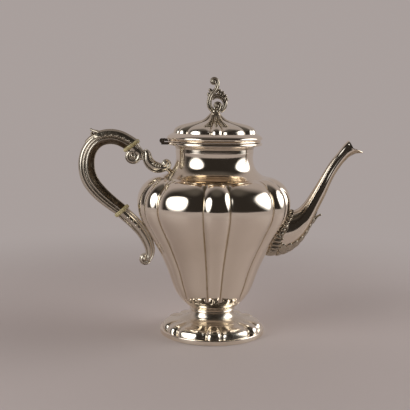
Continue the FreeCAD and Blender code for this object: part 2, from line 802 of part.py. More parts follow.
# ---- pieces -------------------------------------------------------------------------------
PIECES = {
    "body_shell": body_shell,
    "neck": neck,
    "neck_wire": neck_wire,
    "mouth_rim": mouth_rim,
    "stem_collar": stem_collar,
    "foot_dome": foot_dome,
    "foot_rim": foot_rim,
    "spout_left": lambda: spout_half(0.0),
    "spout_right": lambda: spout_half(-FAR),
    "spout_root_border": spout_root_border,
    "spout_keel_leaf": spout_keel_leaf,
    "handle_grip": handle_grip,
    "handle_thumb_leaf": handle_thumb_leaf,
    "upper_insulator": lambda: insulator(UPPER_INSULATOR),
    "lower_insulator": lambda: insulator(LOWER_INSULATOR),
    "upper_insulator_pins": lambda: pin_pair(UPPER_INSULATOR),
    "lower_insulator_pins": lambda: pin_pair(LOWER_INSULATOR),
    "upper_socket": upper_socket,
    "upper_bracket": upper_bracket,
    "lower_socket": lower_socket,
    "body_hinge_leaf": body_hinge_leaf,
    "hinge_pin": hinge_pin,
    "lid_hinge_leaf": lid_hinge_leaf,
    "lid_rim": lid_rim,
    "lid_bezel": lid_bezel,
    "lid_dome": lid_dome,
    "finial_collar": finial_collar,
    "finial_stud": finial_stud,
    "finial_nut": finial_nut,
    "finial": finial,
}


def main():
    os.makedirs("parts", exist_ok=True)
    for name, make in PIECES.items():
        made = make()
        solids = made if isinstance(made, list) else made.Solids
        state = "valid" if all(s.isValid() and s.Volume > 0 for s in solids) else "NOT VALID"
        volume = sum(s.Volume for s in solids)
        print(f"{name}: {len(solids)} solid(s), {volume:.0f} mm3, {state}")
        shape = solids[0] if len(solids) == 1 else Part.makeCompound(solids)
        shape.exportStep(f"parts/{name}.step")


main()
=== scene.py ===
"""The looks of the silver coffee pot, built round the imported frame.

Lengths are millimetres in the row's frame, and make() turns them into metres. The spout points
along +X, the handle along -X, and the camera looks along +Y.
"""
import math

import bmesh
import bpy
import numpy as np
from mathutils import Matrix, Vector

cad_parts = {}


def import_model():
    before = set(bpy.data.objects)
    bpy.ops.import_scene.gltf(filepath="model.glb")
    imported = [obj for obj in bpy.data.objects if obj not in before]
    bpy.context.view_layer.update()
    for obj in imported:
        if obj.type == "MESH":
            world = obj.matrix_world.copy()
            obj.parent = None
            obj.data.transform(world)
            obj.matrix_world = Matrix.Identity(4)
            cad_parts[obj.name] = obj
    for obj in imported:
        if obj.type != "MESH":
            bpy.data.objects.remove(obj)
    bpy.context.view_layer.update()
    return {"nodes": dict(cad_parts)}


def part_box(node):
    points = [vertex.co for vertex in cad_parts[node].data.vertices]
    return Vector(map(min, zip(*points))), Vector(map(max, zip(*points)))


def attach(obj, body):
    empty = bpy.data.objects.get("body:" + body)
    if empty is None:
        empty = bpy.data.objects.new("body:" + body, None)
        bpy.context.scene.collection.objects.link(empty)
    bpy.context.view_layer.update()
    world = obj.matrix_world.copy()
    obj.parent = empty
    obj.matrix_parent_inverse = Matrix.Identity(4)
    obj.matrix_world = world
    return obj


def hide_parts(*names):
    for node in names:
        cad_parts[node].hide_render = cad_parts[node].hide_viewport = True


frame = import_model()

MM = 0.001
TAU = 2 * math.pi


# ---- frame ----
def extent(node):
    """Lowest and highest corner of a CAD node, in millimetres."""
    return tuple(np.array(corner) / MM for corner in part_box(node))


def ring_size(node):
    """Outer radius, bottom and top of a ring."""
    low, high = extent(node)
    return high[0], low[2], high[2]


def fitted(outline, node):
    """An outline of (radius, height) points, stretched to fill the node's box."""
    low, high = extent(node)
    r, z = np.array(outline, float).T
    share = (z - z.min()) / (z.max() - z.min())
    return np.column_stack([r / r.max() * high[1], low[2] + share * (high[2] - low[2])])


def centre_of(node):
    """The middle of a node in the side view, as (x, z)."""
    low, high = extent(node)
    return (low + high)[[0, 2]] / 2


# ---- curves ----
def circle(count):
    """Evenly spaced angles of a full turn."""
    return np.linspace(0, TAU, count, endpoint=False)


def lengths(points):
    """The length along a polyline up to each of its points."""
    return np.concatenate([[0.0], np.cumsum(np.linalg.norm(np.diff(points, axis=0), axis=1))])


def smooth_curve(points, count):
    """Points at equal lengths on the natural cubic spline through the given ones."""
    points = np.array(points, float)
    knots = lengths(points)
    step = np.diff(knots)[:, None]
    size = len(points)
    system, right = np.eye(size), np.zeros_like(points)
    slope = np.diff(points, axis=0) / step
    for i in range(1, size - 1):
        system[i, i - 1 : i + 2] = step[i - 1, 0], 2 * (step[i - 1, 0] + step[i, 0]), step[i, 0]
        right[i] = 6 * (slope[i] - slope[i - 1])
    bend = np.linalg.solve(system, right)
    at = np.linspace(0, knots[-1], 40 * size)
    i = np.clip(np.searchsorted(knots, at) - 1, 0, size - 2)
    b = (at[:, None] - knots[i, None]) / step[i]
    a = 1 - b
    cubic = ((a**3 - a) * bend[i] + (b**3 - b) * bend[i + 1]) * step[i] ** 2 / 6
    return resampled(a * points[i] + b * points[i + 1] + cubic, count)


def resampled(points, count):
    """Points at equal lengths along a polyline."""
    length = lengths(points)
    at = np.linspace(0, length[-1], count)
    return np.column_stack([np.interp(at, length, column) for column in points.T])


def tangents(points):
    along = np.gradient(points, axis=0)
    return along / np.linalg.norm(along, axis=1, keepdims=True)


def normals(points):
    """Unit vectors to the right of a polyline."""
    along = tangents(points)
    return np.column_stack([along[:, 1], -along[:, 0]])


def evened(values, times):
    """Values round a ring, averaged with their neighbours a number of times."""
    for _ in range(times):
        values = (np.roll(values, 1, 0) + 2 * values + np.roll(values, -1, 0)) / 4
    return values


def spiral(centre, start_radius, end_radius, start_angle, turn, count=90):
    """A spiral in the side view. Angles are in degrees from +X towards +Z."""
    angle = np.radians(np.linspace(start_angle, start_angle + turn, count))
    radius = np.linspace(start_radius, end_radius, count)
    return np.column_stack([centre[0] + radius * np.cos(angle), centre[1] + radius * np.sin(angle)])


def smoothstep(low, high, value):
    t = np.clip((value - low) / (high - low), 0, 1)
    return t * t * (3 - 2 * t)


def bump(value, centre, half_width):
    return np.exp(-(((value - centre) / half_width) ** 2))


def soft_min(a, b, blend):
    h = np.clip(0.5 + 0.5 * (b - a) / blend, 0, 1)
    return b + (a - b) * h - blend * h * (1 - h)


def rounded(corners, spacing=2.0):
    """A closed profile of (r, z) from corners of (r, z, fillet radius), with points about a
    spacing apart."""
    corners = np.array(corners, float)
    points = []
    for i, (r, z, fillet) in enumerate(corners):
        here = np.array([r, z])
        before = corners[i - 1, :2] - here
        after = corners[(i + 1) % len(corners), :2] - here
        before_length, after_length = np.linalg.norm(before), np.linalg.norm(after)
        before, after = before / before_length, after / after_length
        half = math.acos(np.clip(before @ after, -1, 1)) / 2
        reach = fillet / math.tan(half) if fillet else 0.0
        if fillet:
            inwards = (before + after) / np.linalg.norm(before + after)
            middle = here + inwards * fillet / math.sin(half)
            first, last = here + before * reach - middle, here + after * reach - middle
            turn = math.atan2(first[0] * last[1] - first[1] * last[0], first @ last)
            for angle in np.linspace(0, turn, max(3, int(abs(turn) * 5) + 2)):
                c, s = math.cos(angle), math.sin(angle)
                points.append(middle + (c * first[0] - s * first[1], s * first[0] + c * first[1]))
        else:
            points.append(here)
    closed = points + points[:1]
    dense = []
    for a, b in zip(closed, closed[1:]):
        count = max(1, int(np.linalg.norm(b - a) / spacing))
        dense += [a + (b - a) * k / count for k in range(count)]
    return np.array(dense)


# ---- meshes ----
# A part is (points, faces, darkening): the darkening is 0 where the silver is bright and 1 where it is
# darkest, and holds both the metal's tarnish and painted shade.
def grid(rows, closed_rows=False, tarnish_and_shade=None, caps=False):
    """A part over rows of points that each close into a ring. closed_rows joins the last row to
    the first, and caps closes the first and the last row with a flat face."""
    rows = np.asarray(rows, float)
    count, width = rows.shape[:2]
    index = np.arange(count * width).reshape(count, width)
    if closed_rows:
        index = np.vstack([index, index[:1]])
    index = np.hstack([index, index[:, :1]])
    corners = [index[:-1, :-1], index[:-1, 1:], index[1:, 1:], index[1:, :-1]]
    faces = np.stack(corners, -1).reshape(-1, 4).tolist()
    if caps:
        faces += [index[0, :width].tolist(), index[-1, :width].tolist()]
    tarnish_and_shade = np.broadcast_to(0.0 if tarnish_and_shade is None else tarnish_and_shade, (count, width))
    return rows.reshape(-1, 3), faces, tarnish_and_shade.reshape(-1)


def joined(*parts):
    points, faces, tarnish_and_shade, start = [], [], [], 0
    for part_points, part_faces, part_tarnish in parts:
        points.append(part_points)
        faces += [[start + i for i in face] for face in part_faces]
        tarnish_and_shade.append(part_tarnish)
        start += len(part_points)
    return np.vstack(points), faces, np.concatenate(tarnish_and_shade)


def ball(centre, radius, squash=1.0, count=16):
    """A small bead. squash scales it along Y."""
    polar = np.linspace(0, math.pi, count // 2 + 1)[1:-1]
    around = circle(count)
    p, a = np.meshgrid(polar, around, indexing="ij")
    rows = np.stack([np.sin(p) * np.cos(a), np.sin(p) * np.sin(a) * squash, np.cos(p)], -1)
    return grid(np.array(centre) + radius * rows, caps=True)


RING_SEGMENTS = 288


def turned(profile, segments=RING_SEGMENTS, tarnish_and_shade=None):
    """A ring made by turning a closed profile about Z."""
    around = circle(segments)
    r, z = profile[:, 0, None], profile[:, 1, None]
    rows = np.stack([r * np.cos(around), r * np.sin(around), z + 0 * around], -1)
    return grid(rows, closed_rows=True, tarnish_and_shade=tarnish_and_shade)


def cut_square(rows, path, end, normal, reach=9.0):
    """Shears the rows near an end of a path so that the last one lies square to normal."""
    along = tangents(path)[end]
    distance = np.linalg.norm(path - path[end], axis=1)
    blend = (1 - smoothstep(0, reach, distance))[:, None]
    away = rows[..., ::2] - path[:, None]
    slide = -(away @ normal) / (along @ normal) * blend
    rows = rows.copy()
    rows[..., 0] += slide * along[0]
    rows[..., 2] += slide * along[1]
    return rows


def spread(values, count):
    """One value, or evenly spaced values, interpolated over count places."""
    values = np.atleast_1d(values)
    return np.interp(np.linspace(0, 1, count), np.linspace(0, 1, len(values)), values)


def beside(path, normal, w, y):
    """Points beside a side-view path: w along its normals, and y along Y."""
    spots = path[:, None] + normal[:, None] * w[..., None]
    return np.stack([spots[..., 0], y, spots[..., 1]], -1)


def swept(path, half_widths, half_depths, section, round_start=0.0, round_end=0.0, square=()):
    """A section of (width, depth) shares carried along a side-view path, with rounded ends, or
    ends that are square to a direction. square holds pairs of (end index, direction)."""
    normal, length = -normals(path), lengths(path)
    taper = np.ones(len(path))
    for reach, distance in ((round_start, length), (round_end, length[-1] - length)):
        if reach:
            t = np.clip(distance / reach, 0, 1)
            taper = taper * np.sqrt(np.maximum(1 - (1 - t) ** 2, 0.0004))
    w = section[:, 0] * (spread(half_widths, len(path)) * taper)[:, None]
    y = section[:, 1] * (spread(half_depths, len(path)) * taper)[:, None]
    rows = beside(path, normal, w, y)
    for end, direction in square:
        rows = cut_square(rows, path, end, direction)
    return grid(rows, caps=True)


def section_from(half):
    """A closed section from the (width, depth) points of its +Y half, smoothed."""
    half = np.array(half, float)
    mirrored = half[::-1][1:-1] * (1, -1)
    ring = np.vstack([half, mirrored])
    ring = np.vstack([ring, ring[:1]])
    return evened(resampled(ring, 160)[:-1], 3)


def mirrored_section(middle, half):
    """A section from its depth in the middle, and its points from there out to one edge."""
    return section_from([*((-width, depth) for width, depth in half[::-1]), (0.0, middle), *half])


def oval_section(count=40):
    around = circle(count)
    return np.column_stack([np.cos(around), np.sin(around)])


def shown(name, data):
    """A new object in the scene."""
    thing = bpy.data.objects.new(name, data)
    bpy.context.scene.collection.objects.link(thing)
    return thing


def mesh_of(name, part, unit=MM):
    points, faces, _ = part
    mesh = bpy.data.meshes.new(name)
    mesh.from_pydata((points * unit).tolist(), [], faces)
    return mesh


# Stores the darkening attribute, which holds the metal's tarnish and painted shade.
def write_tarnish_and_shade(mesh, tarnish_and_shade):
    layer = mesh.attributes.get("tarnish_and_shade") or mesh.attributes.new("tarnish_and_shade", "FLOAT", "POINT")
    layer.data.foreach_set("value", tarnish_and_shade.astype(np.float32))


def make(name, part, material, replaced, body="pot", voxel=0.0, angle=38):
    """A Blender object from a part, riding on its CAD body and standing for CAD nodes. voxel
    fuses the part's solids into one casting, with details down to that size in millimetres.
    angle is the least one, in degrees, at which an edge looks sharp."""
    mesh = mesh_of(name, part)
    write_tarnish_and_shade(mesh, part[2])
    work = bmesh.new()
    work.from_mesh(mesh)
    bmesh.ops.recalc_face_normals(work, faces=work.faces)
    work.to_mesh(mesh)
    work.free()
    piece = shown(name, mesh)
    if voxel:
        remesh = piece.modifiers.new("fuse", "REMESH")
        remesh.mode = "VOXEL"
        remesh.voxel_size = voxel * MM
        remesh.use_smooth_shade = True
        smooth = piece.modifiers.new("soften", "SMOOTH")
        smooth.factor = 0.5
        smooth.iterations = 3
        applied(piece)
        # The fused casting gets painted shade in its hollows.
        darken_hollows(piece.data)
    mesh = piece.data
    mesh.shade_smooth()
    if not voxel:
        mesh.set_sharp_from_angle(angle=math.radians(angle))
    coat(mesh, material)
    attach(piece, body)
    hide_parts(*replaced)
    return piece


def cast(name, parts, material, node, voxel, body="pot"):
    """One casting, fused from parts that overlap."""
    make(name, joined(*parts), material, [node], body=body, voxel=voxel)


def coat(mesh, material):
    """Gives a mesh this material alone."""
    mesh.materials.clear()
    mesh.materials.append(material)


def darken_hollows(mesh, reach=30, full_depth=0.32):
    """Writes painted shade into the hollows of a fused casting: how far each point lies below the shape
    that is left when its relief is smoothed away, in millimetres."""
    count = len(mesh.vertices)
    points, normals = np.empty(3 * count, np.float32), np.empty(3 * count, np.float32)
    ends = np.empty(2 * len(mesh.edges), np.int32)
    mesh.vertices.foreach_get("co", points)
    mesh.vertices.foreach_get("normal", normals)
    mesh.edges.foreach_get("vertices", ends)
    points, normals, ends = points.reshape(-1, 3) / MM, normals.reshape(-1, 3), ends.reshape(-1, 2)
    valence = np.maximum(np.bincount(ends.ravel(), minlength=count), 1)[:, None]

    def averaged(values):
        total = np.zeros_like(values)
        for a, b in ((0, 1), (1, 0)):
            for column in range(values.shape[1]):
                total[:, column] += np.bincount(ends[:, a], values[ends[:, b], column], count)
        return total / valence

    smooth = points.copy()
    for _ in range(reach):
        smooth = 0.5 * smooth + 0.5 * averaged(smooth)
    depth = ((smooth - points) * normals).sum(1)
    write_tarnish_and_shade(mesh, smoothstep(-0.02, full_depth, depth))


def applied(piece):
    """Bakes a piece's modifiers into its mesh."""
    graph = bpy.context.evaluated_depsgraph_get()
    mesh = bpy.data.meshes.new_from_object(piece.evaluated_get(graph), depsgraph=graph)
    piece.modifiers.clear()
    piece.data = mesh


# ---- materials ----
def put(tree, node, inputs):
    """Sets a node's inputs to values, or links them to the outputs of other nodes."""
    for socket, value in inputs.items():
        if isinstance(value, bpy.types.NodeSocket):
            tree.links.new(value, node.inputs[socket])
        else:
            node.inputs[socket].default_value = value


def add(tree, kind, inputs, output=0, **settings):
    """Adds a shader node of this kind, and gives back one of its outputs."""
    node = tree.nodes.new("ShaderNode" + kind)
    for setting, value in settings.items():
        setattr(node, setting, value)
    put(tree, node, inputs)
    return node.outputs[output]


def ranged(tree, source, low, high, to_low=0.0, to_high=1.0, ease="SMOOTHSTEP"):
    """Carries an output from one range to another, with soft ends."""
    inputs = {"Value": source, "From Min": low, "From Max": high, "To Min": to_low, "To Max": to_high}
    return add(tree, "MapRange", inputs, "Result", interpolation_type=ease)


def new_material(name):
    material = bpy.data.materials.new(name)
    material.use_nodes = True
    return material, material.node_tree, material.node_tree.nodes["Principled BSDF"]


def silver(name, tint, dark, roughness, cloud, scratch):
    """Polished silver, darkened where its attribute of tarnish and painted shade, and soft clouds, say.
    cloud is how much the clouds darken it, and scratch how strong its fine relief is."""
    material, tree, shader = new_material(name)
    shader.inputs["Metallic"].default_value = 1.0
    place = add(tree, "TexCoord", {}, "Object")

    def noise(scale, detail):
        return add(tree, "TexNoise", {"Scale": scale, "Detail": detail, "Vector": place}, "Fac")

    def calc(operation, a, b):
        return add(tree, "Math", {0: a, 1: b}, operation=operation)

    mottle = ranged(tree, noise(160, 4), 0.35, 0.65, 0.82, 1.0)
    clouds = ranged(tree, noise(22, 4), 0.45, 0.75, 0.0, cloud)
    haze = ranged(tree, noise(60, 6), 0.3, 0.7, roughness * 0.8, roughness * 1.25)
    fine = {"Strength": scratch, "Distance": 0.0001, "Height": noise(900, 3)}
    shade_and_tarnish = add(tree, "Attribute", {}, "Fac", attribute_name="tarnish_and_shade")
    amount = calc("MINIMUM", calc("ADD", calc("MULTIPLY", shade_and_tarnish, mottle), clouds), 1.0)
    colours = {"Factor": amount, "A": (*tint, 1), "B": (*dark, 1)}
    looks = {
        "Base Color": add(tree, "Mix", colours, "Result", data_type="RGBA"),
        "Roughness": calc("ADD", haze, calc("MULTIPLY", amount, TARNISH_AND_SHADE_ROUGHNESS)),
        "Normal": add(tree, "Bump", fine, "Normal"),
    }
    put(tree, shader, looks)
    return material


def cream(name):
    """Aged ivory-coloured insulator."""
    material, tree, shader = new_material(name)
    place = add(tree, "TexCoord", {}, "Object")
    grain = add(tree, "TexNoise", {"Scale": 260, "Detail": 6, "Vector": place}, "Fac")
    ramp = add(tree, "ValToRGB", {"Fac": grain}, "Color")
    stops = ramp.node.color_ramp.elements
    stops[0].position, stops[0].color = 0.32, (0.42, 0.33, 0.14, 1)
    stops[1].position, stops[1].color = 0.62, (0.64, 0.57, 0.33, 1)
    shader.inputs["Roughness"].default_value = 0.42
    shader.inputs["Subsurface Weight"].default_value = 0.15
    shader.inputs["Subsurface Radius"].default_value = (0.002, 0.0015, 0.0008)
    fine = {"Strength": 0.25, "Distance": 0.0002, "Height": grain}
    put(tree, shader, {"Base Color": ramp, "Normal": add(tree, "Bump", fine, "Normal")})
    return material


TARNISH_AND_SHADE_ROUGHNESS = 0.22  # added to the roughness where the tarnish and painted shade are full
GOLD_BROWN = (0.36, 0.26, 0.13)
# Name, tint, colour of the tarnish and painted shade, roughness, strength of the clouds and of the
# scratches.
SHEET = silver("polished_sheet_silver", (0.92, 0.83, 0.71), GOLD_BROWN, 0.085, 0.10, 0.05)
WORN_SHEET = silver("worn_sheet_silver", (0.86, 0.79, 0.68), GOLD_BROWN, 0.17, 0.10, 0.05)
CAST = silver("cast_silver", (0.66, 0.60, 0.50), (0.10, 0.07, 0.04), 0.22, 0.15, 0.06)
DARK_CAST = silver("dark_cast_silver", (0.50, 0.44, 0.35), (0.07, 0.05, 0.03), 0.26, 0.25, 0.10)
WIRE = silver("drawn_silver", (0.80, 0.75, 0.66), GOLD_BROWN, 0.16, 0.2, 0.2)
IVORY = cream("cream_insulator")


# ---- lobed sheet ----
LOBE_PAIRS = 6
WIDE_SPAN = 40.0
NARROW_SPAN = 360.0 / LOBE_PAIRS - WIDE_SPAN
WALL = 1.0
LID_WALL = 0.9
GROOVE_SOFTNESS = 0.004  # how far a groove's bottom is rounded, as a share of the radius


def lobe_table(groove, softness, round_share=0.42):
    """Round the twelve lobes of a unit circle: angle, inward dip, and distance to the groove.
    The less a lobe's round_share, the flatter its crown and the narrower its groove."""
    angles, dips, distances = [], [], []
    for pair in range(LOBE_PAIRS):
        for middle, span, rounder, count in ((0, WIDE_SPAN, 1, 56), (30, NARROW_SPAN, 2, 36)):
            half = math.radians(span / 2)
            edge = 1 - groove
            chord, sag = edge * math.sin(half), 1 - edge * math.cos(half)
            t = np.sin(np.linspace(-1, 1, count, endpoint=False) * math.pi / 2)
            shape = min(1, rounder * round_share)
            crown = shape * t**2 + (1 - shape) * abs(t) ** 5
            x, y = 1 - sag * crown, t * chord
            angles.append(math.radians(pair * 60 + middle) + np.arctan2(y, x))
            dips.append(1 - np.hypot(x, y))
            distances.append((1 - abs(t)) * chord)
    dips = np.concatenate(dips)
    dips = soft_min(dips, np.full_like(dips, groove - softness), 2 * softness)
    return np.concatenate(angles), dips, np.concatenate(distances)


def lobed(curve, groove, limit, softness=GROOVE_SOFTNESS, round_share=0.42):
    """Rows over an outline of (r, z), sunk along its normals by the lobes' dips, and the painted shade
    along their grooves. limit gives the deepest a groove may be from the lengths to the two ends."""
    angle, dip, distance = lobe_table(groove, softness, round_share)
    normal = normals(curve)
    length = lengths(curve)
    deepest = limit(length, length[-1] - length)[:, None]
    sink = soft_min(curve[:, :1] * dip[None], deepest, np.minimum(0.5, deepest + 0.02))
    sink = np.maximum(sink, 0)
    r = curve[:, :1] - normal[:, :1] * sink
    z = curve[:, 1:] - normal[:, 1:] * sink
    rows = np.stack([r * np.cos(angle), r * np.sin(angle), z + 0 * angle], -1)
    # Painted shade along the groove bottoms, as strong as the grooves are deep.
    gap = curve[:, :1] * distance[None]
    return rows, normal, np.exp(-((gap / 0.55) ** 2)) * np.clip(deepest, 0, 1)


def shell(rows, normal, wall, tarnish_and_shade, inner_step=5):
    """A closed wall: the outer rows, and the same moved inwards on the way back."""
    radius = np.maximum(np.hypot(rows[..., 0], rows[..., 1]), 1e-6)[..., None]
    outward = rows[..., :2] / radius * normal[:, None, :1]
    rise = np.broadcast_to(normal[:, None, 1:], radius.shape)
    inner = (rows - np.concatenate([outward, rise], -1) * wall)[::-inner_step]
    shade_and_tarnish = np.vstack([tarnish_and_shade, 0 * tarnish_and_shade[::-inner_step]])
    return np.vstack([rows, inner]), shade_and_tarnish


BODY_OUTLINE = [
    (21.5, 25.0), (26.3, 28.8), (33.6, 37.0), (38.6, 47.0), (43.4, 60.5), (53.2, 81.5),
    (65.2, 102.6), (71.8, 116.0), (73.4, 127.4), (71.0, 138.4), (64.8, 146.2), (57.2, 150.4),
    (49.2, 151.6),
]
BODY_GROOVE = 0.062  # the grooves' depth, as a share of the radius
BODY_CURVE = smooth_curve(fitted(BODY_OUTLINE, "body_shell"), 145)


def body_shell():
    def limit(from_foot, from_neck):
        rise = 0.02 + 0.22 * np.maximum(from_foot - 13.5, 0)
        return np.minimum(rise, 0.15 * from_neck + 0.0004 * from_neck**3)

    # The lobes' grooves carry painted shade.
    rows, normal, shade_and_tarnish = lobed(BODY_CURVE, BODY_GROOVE, limit)
    rows, shade_and_tarnish = shell(rows, normal, WALL, shade_and_tarnish)
    floor = rows[-1].copy()
    floor[:, 2] = rows[-1, :, 2].mean() + 0.3
    floor_centre = floor * (0.02, 0.02, 1)
    under = rows[0] * (0.02, 0.02, 1)
    rows = np.concatenate([under[None], rows, floor_centre[None]])
    shade_and_tarnish = np.vstack([shade_and_tarnish[:1] * 0, shade_and_tarnish, shade_and_tarnish[:1] * 0])
    piece = make("body", grid(rows, tarnish_and_shade=shade_and_tarnish, caps=True), SHEET, ["body_shell"])
    pierce(piece)


def pierce(piece):
    """Cuts the strainer holes behind the spout, in rings round a middle one."""
    middle, hole, start, end, around = 97.0, 1.6, 50.0, 80.0, circle(20)
    drills = []
    for count, ring in ((1, 0.0), (6, 5.4), (12, 10.6)):
        for angle in circle(count):
            y = ring * math.cos(angle) + hole * np.cos(around)
            z = middle + ring * math.sin(angle) + hole * np.sin(around)
            rows = [np.column_stack([np.full(len(around), x), y, z]) for x in (start, end)]
            drills.append(grid(rows, caps=True))
    drill = shown("drill", mesh_of("drill", joined(*drills)))
    cut = piece.modifiers.new("strainer", "BOOLEAN")
    cut.object = drill
    cut.operation = "DIFFERENCE"
    cut.solver = "EXACT"
    applied(piece)
    bpy.data.objects.remove(drill)


NECK_OUTLINE = [
    (49.2, 151.6), (42.8, 155.9), (38.6, 161.4), (37.0, 167.0), (36.8, 170.6), (37.2, 175.4),
    (37.3, 184.6),
]


def neck():
    _, bottom, top = ring_size("neck")
    outline = fitted(NECK_OUTLINE, "neck")
    outer = np.vstack([smooth_curve(outline[:-1], 80), outline[-1:]])
    normal = normals(outer)
    normal[-2:] = (1, 0)
    inner = (outer - normal * WALL)[::-1]
    inner[:, 1] = np.clip(inner[:, 1], bottom, top)
    profile = np.vstack([outer, inner])
    # Darker on the handle side, more so towards the bottom of the neck, and painted shade just under
    # the mouth flange.
    handle_side = smoothstep(-0.2, 0.9, -np.cos(circle(RING_SEGMENTS)))
    falling = smoothstep(top - 2, bottom, profile[:, 1])[:, None]
    under_mouth = bump(profile[:, 1], top - 5, 3.0)[:, None]
    shade_and_tarnish = 0.30 * handle_side * falling + 0.22 * under_mouth
    make("neck_spun", turned(profile, tarnish_and_shade=shade_and_tarnish), SHEET, ["neck"])


def neck_wire():
    radius, bottom, top = ring_size("neck_wire")
    middle, half = (bottom + top) / 2, (top - bottom) / 2
    around = np.linspace(-math.pi / 2, math.pi / 2, 12)
    crest = np.column_stack([radius - half + half * np.cos(around), middle + half * np.sin(around)])
    back = [(radius - half - 0.6, middle + half), (radius - half - 0.6, middle - half)]
    make("wire_on_neck", turned(np.vstack([crest, back]), tarnish_and_shade=0.15), SHEET, ["neck_wire"])


def mouth_rim():
    edge, bottom, top = ring_size("mouth_rim")
    inner = 36.3
    corners = [(inner, bottom, 0.0), (37.3, bottom, 0.3)]
    corners += [(37.6, bottom + 1.9, 0.35), (39.1, bottom + 2.1, 0.3), (39.5, top - 3.0, 0.3)]
    corners += [(edge - 1.4, top - 3.0, 0.5), (edge, top - 2.5, 0.9), (edge, top, 1.2)]
    profile = rounded([*corners, (inner, top, 0.0)])
    # Painted shade on the steps under the flange's overhanging edge.
    shade_and_tarnish = 0.5 * smoothstep(top - 2.6, top - 3.6, profile[:, 1])[:, None]
    make("mouth_flange", turned(profile, tarnish_and_shade=shade_and_tarnish), SHEET, ["mouth_rim"])


def stem_collar():
    edge, bottom, top = ring_size("stem_collar")
    inner = 17.5
    corners = [(inner, bottom, 0.0), (edge - 1.0, bottom, 0.2), (edge - 0.3, bottom + 0.9, 0.3)]
    corners += [(edge, (bottom + top) / 2, 0.5)]
    corners += [(edge - 0.3, top - 0.9, 0.3), (edge - 1.0, top, 0.2), (inner, top, 0.0)]
    make("stem_bead", turned(rounded(corners), tarnish_and_shade=0.15), WORN_SHEET, ["stem_collar"])


FOOT_OUTLINE = [
    (48.4, 4.7), (46.6, 9.4), (42.0, 11.9), (35.5, 12.5), (27.6, 14.0), (22.2, 17.6),
    (20.6, 22.0),
]
FOOT_GROOVE = 0.088


def foot_dome():
    curve = smooth_curve(fitted(FOOT_OUTLINE, "foot_dome"), 110)
    curve[:, 1] += 0.28 * bump(curve[:, 0], 30.5, 0.7)

    def limit(from_rim, from_stem):
        return 0.02 + 0.16 * np.maximum(from_stem - 12, 0)

    rows, normal, shade_and_tarnish = lobed(curve, FOOT_GROOVE, limit, softness=0.012, round_share=0.22)
    # Painted shade along the grooves, and a painted brown shade round the stem, under the body's bowl.
    stem = bump(curve[:, 0], 25.5, 5.5)[:, None]
    shade_and_tarnish = np.clip(0.60 * shade_and_tarnish + 0.26 * stem, 0, 1)
    rows, shade_and_tarnish = shell(rows, normal, WALL, shade_and_tarnish)
    make("foot", grid(rows, closed_rows=True, tarnish_and_shade=shade_and_tarnish), WORN_SHEET, ["foot_dome"])


def foot_rim():
    edge, _, top = ring_size("foot_rim")
    hole, ledge, sheet = 48.4, 44.6, 1.0
    corners = [(hole, 0, 0.1), (edge, 0, 0.5), (edge, top, 0.9)]
    corners += [(ledge, top, 0.0), (ledge, top - sheet, 0.0), (hole, top - sheet, 0.0)]
    make("foot_band", turned(rounded(corners)), SHEET, ["foot_rim"])


# ---- lid ----
DOME_OUTLINE = [
    (39.4, 193.0), (38.3, 196.4), (34.6, 199.4), (27.8, 201.6), (18.0, 203.8), (9.6, 206.8),
    (5.6, 210.6),
]
LID_GROOVE = 0.105


def lid_dome():
    curve = smooth_curve(fitted(DOME_OUTLINE, "lid_dome"), 110)

    def limit(from_rim, from_top):
        return 0.02 + 0.17 * from_top

    rows, normal, shade_and_tarnish = lobed(curve, LID_GROOVE, limit, softness=0.006)
    # Painted shade along the grooves, stronger towards the top, and round the crown under the finial.
    crown = bump(curve[:, 0], 5.0, 7.0)[:, None]
    shade_and_tarnish = np.clip(0.6 * shade_and_tarnish * smoothstep(38, 14, curve[:, :1]) + 0.2 * shade_and_tarnish + 0.35 * crown, 0, 1)
    rows, shade_and_tarnish = shell(rows, normal, LID_WALL, shade_and_tarnish)
    make("lid", grid(rows, closed_rows=True, tarnish_and_shade=shade_and_tarnish), WORN_SHEET, ["lid_dome"], body="lid")


def lid_rim():
    """The moulding: a small bead below, and above it a bulge that leans back to the dome."""
    low, high = extent("lid_rim")
    bottom, top, edge = low[2], high[2], high[1]
    lip = [(38.0, 1.1), (38.0, 0), (43.2, 0), (43.9, 0.25), (44.1, 0.7), (43.9, 1.15), (43.4, 1.35)]
    crest = [(43.9, 1.6), (45.0, 2.5), (edge, 3.6), (45.15, 4.6)]
    crest += [(44.1, 5.8), (42.8, 6.7), (41.6, 7.25)]
    lip, crest = np.array(lip) + (0, bottom), smooth_curve(np.array(crest) + (0, bottom), 40)
    step = [(41.2, top - 0.5), (40.6, top - 0.1), (40.2, top), (35.9, top), (35.9, top - 1.1)]
    under = [(39.8, top - 1.1), (42.0, top - 1.9)]
    under += [(43.6, bottom + 4.4), (43.6, bottom + 3.0), (42.4, bottom + 1.1)]
    make("lid_moulding", turned(np.vstack([lip, crest, step, under])), SHEET, ["lid_rim"], body="lid")


def lid_bezel():
    _, bottom, top = ring_size("lid_bezel")
    outer, sheet, seat, shoulder = 34.7, 1.0, top - 1.1, 38.0
    corners = [(outer - sheet, bottom, 0.3), (outer, bottom, 0.3), (outer, seat, 0.2)]
    corners += [(shoulder, seat, 0.0), (shoulder, top, 0.0), (outer - sheet, top, 0.4)]
    make("lid_ring", turned(rounded(corners)), SHEET, ["lid_bezel"], body="lid")


def finial_collar():
    edge, bottom, top = ring_size("finial_collar")
    bore = 1.5
    corners = [(bore, bottom, 0.0), (edge, bottom, 0.35), (edge, bottom + 0.8, 0.35)]
    corners += [(edge - 1.2, bottom + 1.0, 0.2), (edge - 1.9, top, 0.2), (bore, top, 0.0)]
    make("finial_base", turned(rounded(corners), 96, tarnish_and_shade=0.4), SHEET, ["finial_collar"], body="lid")


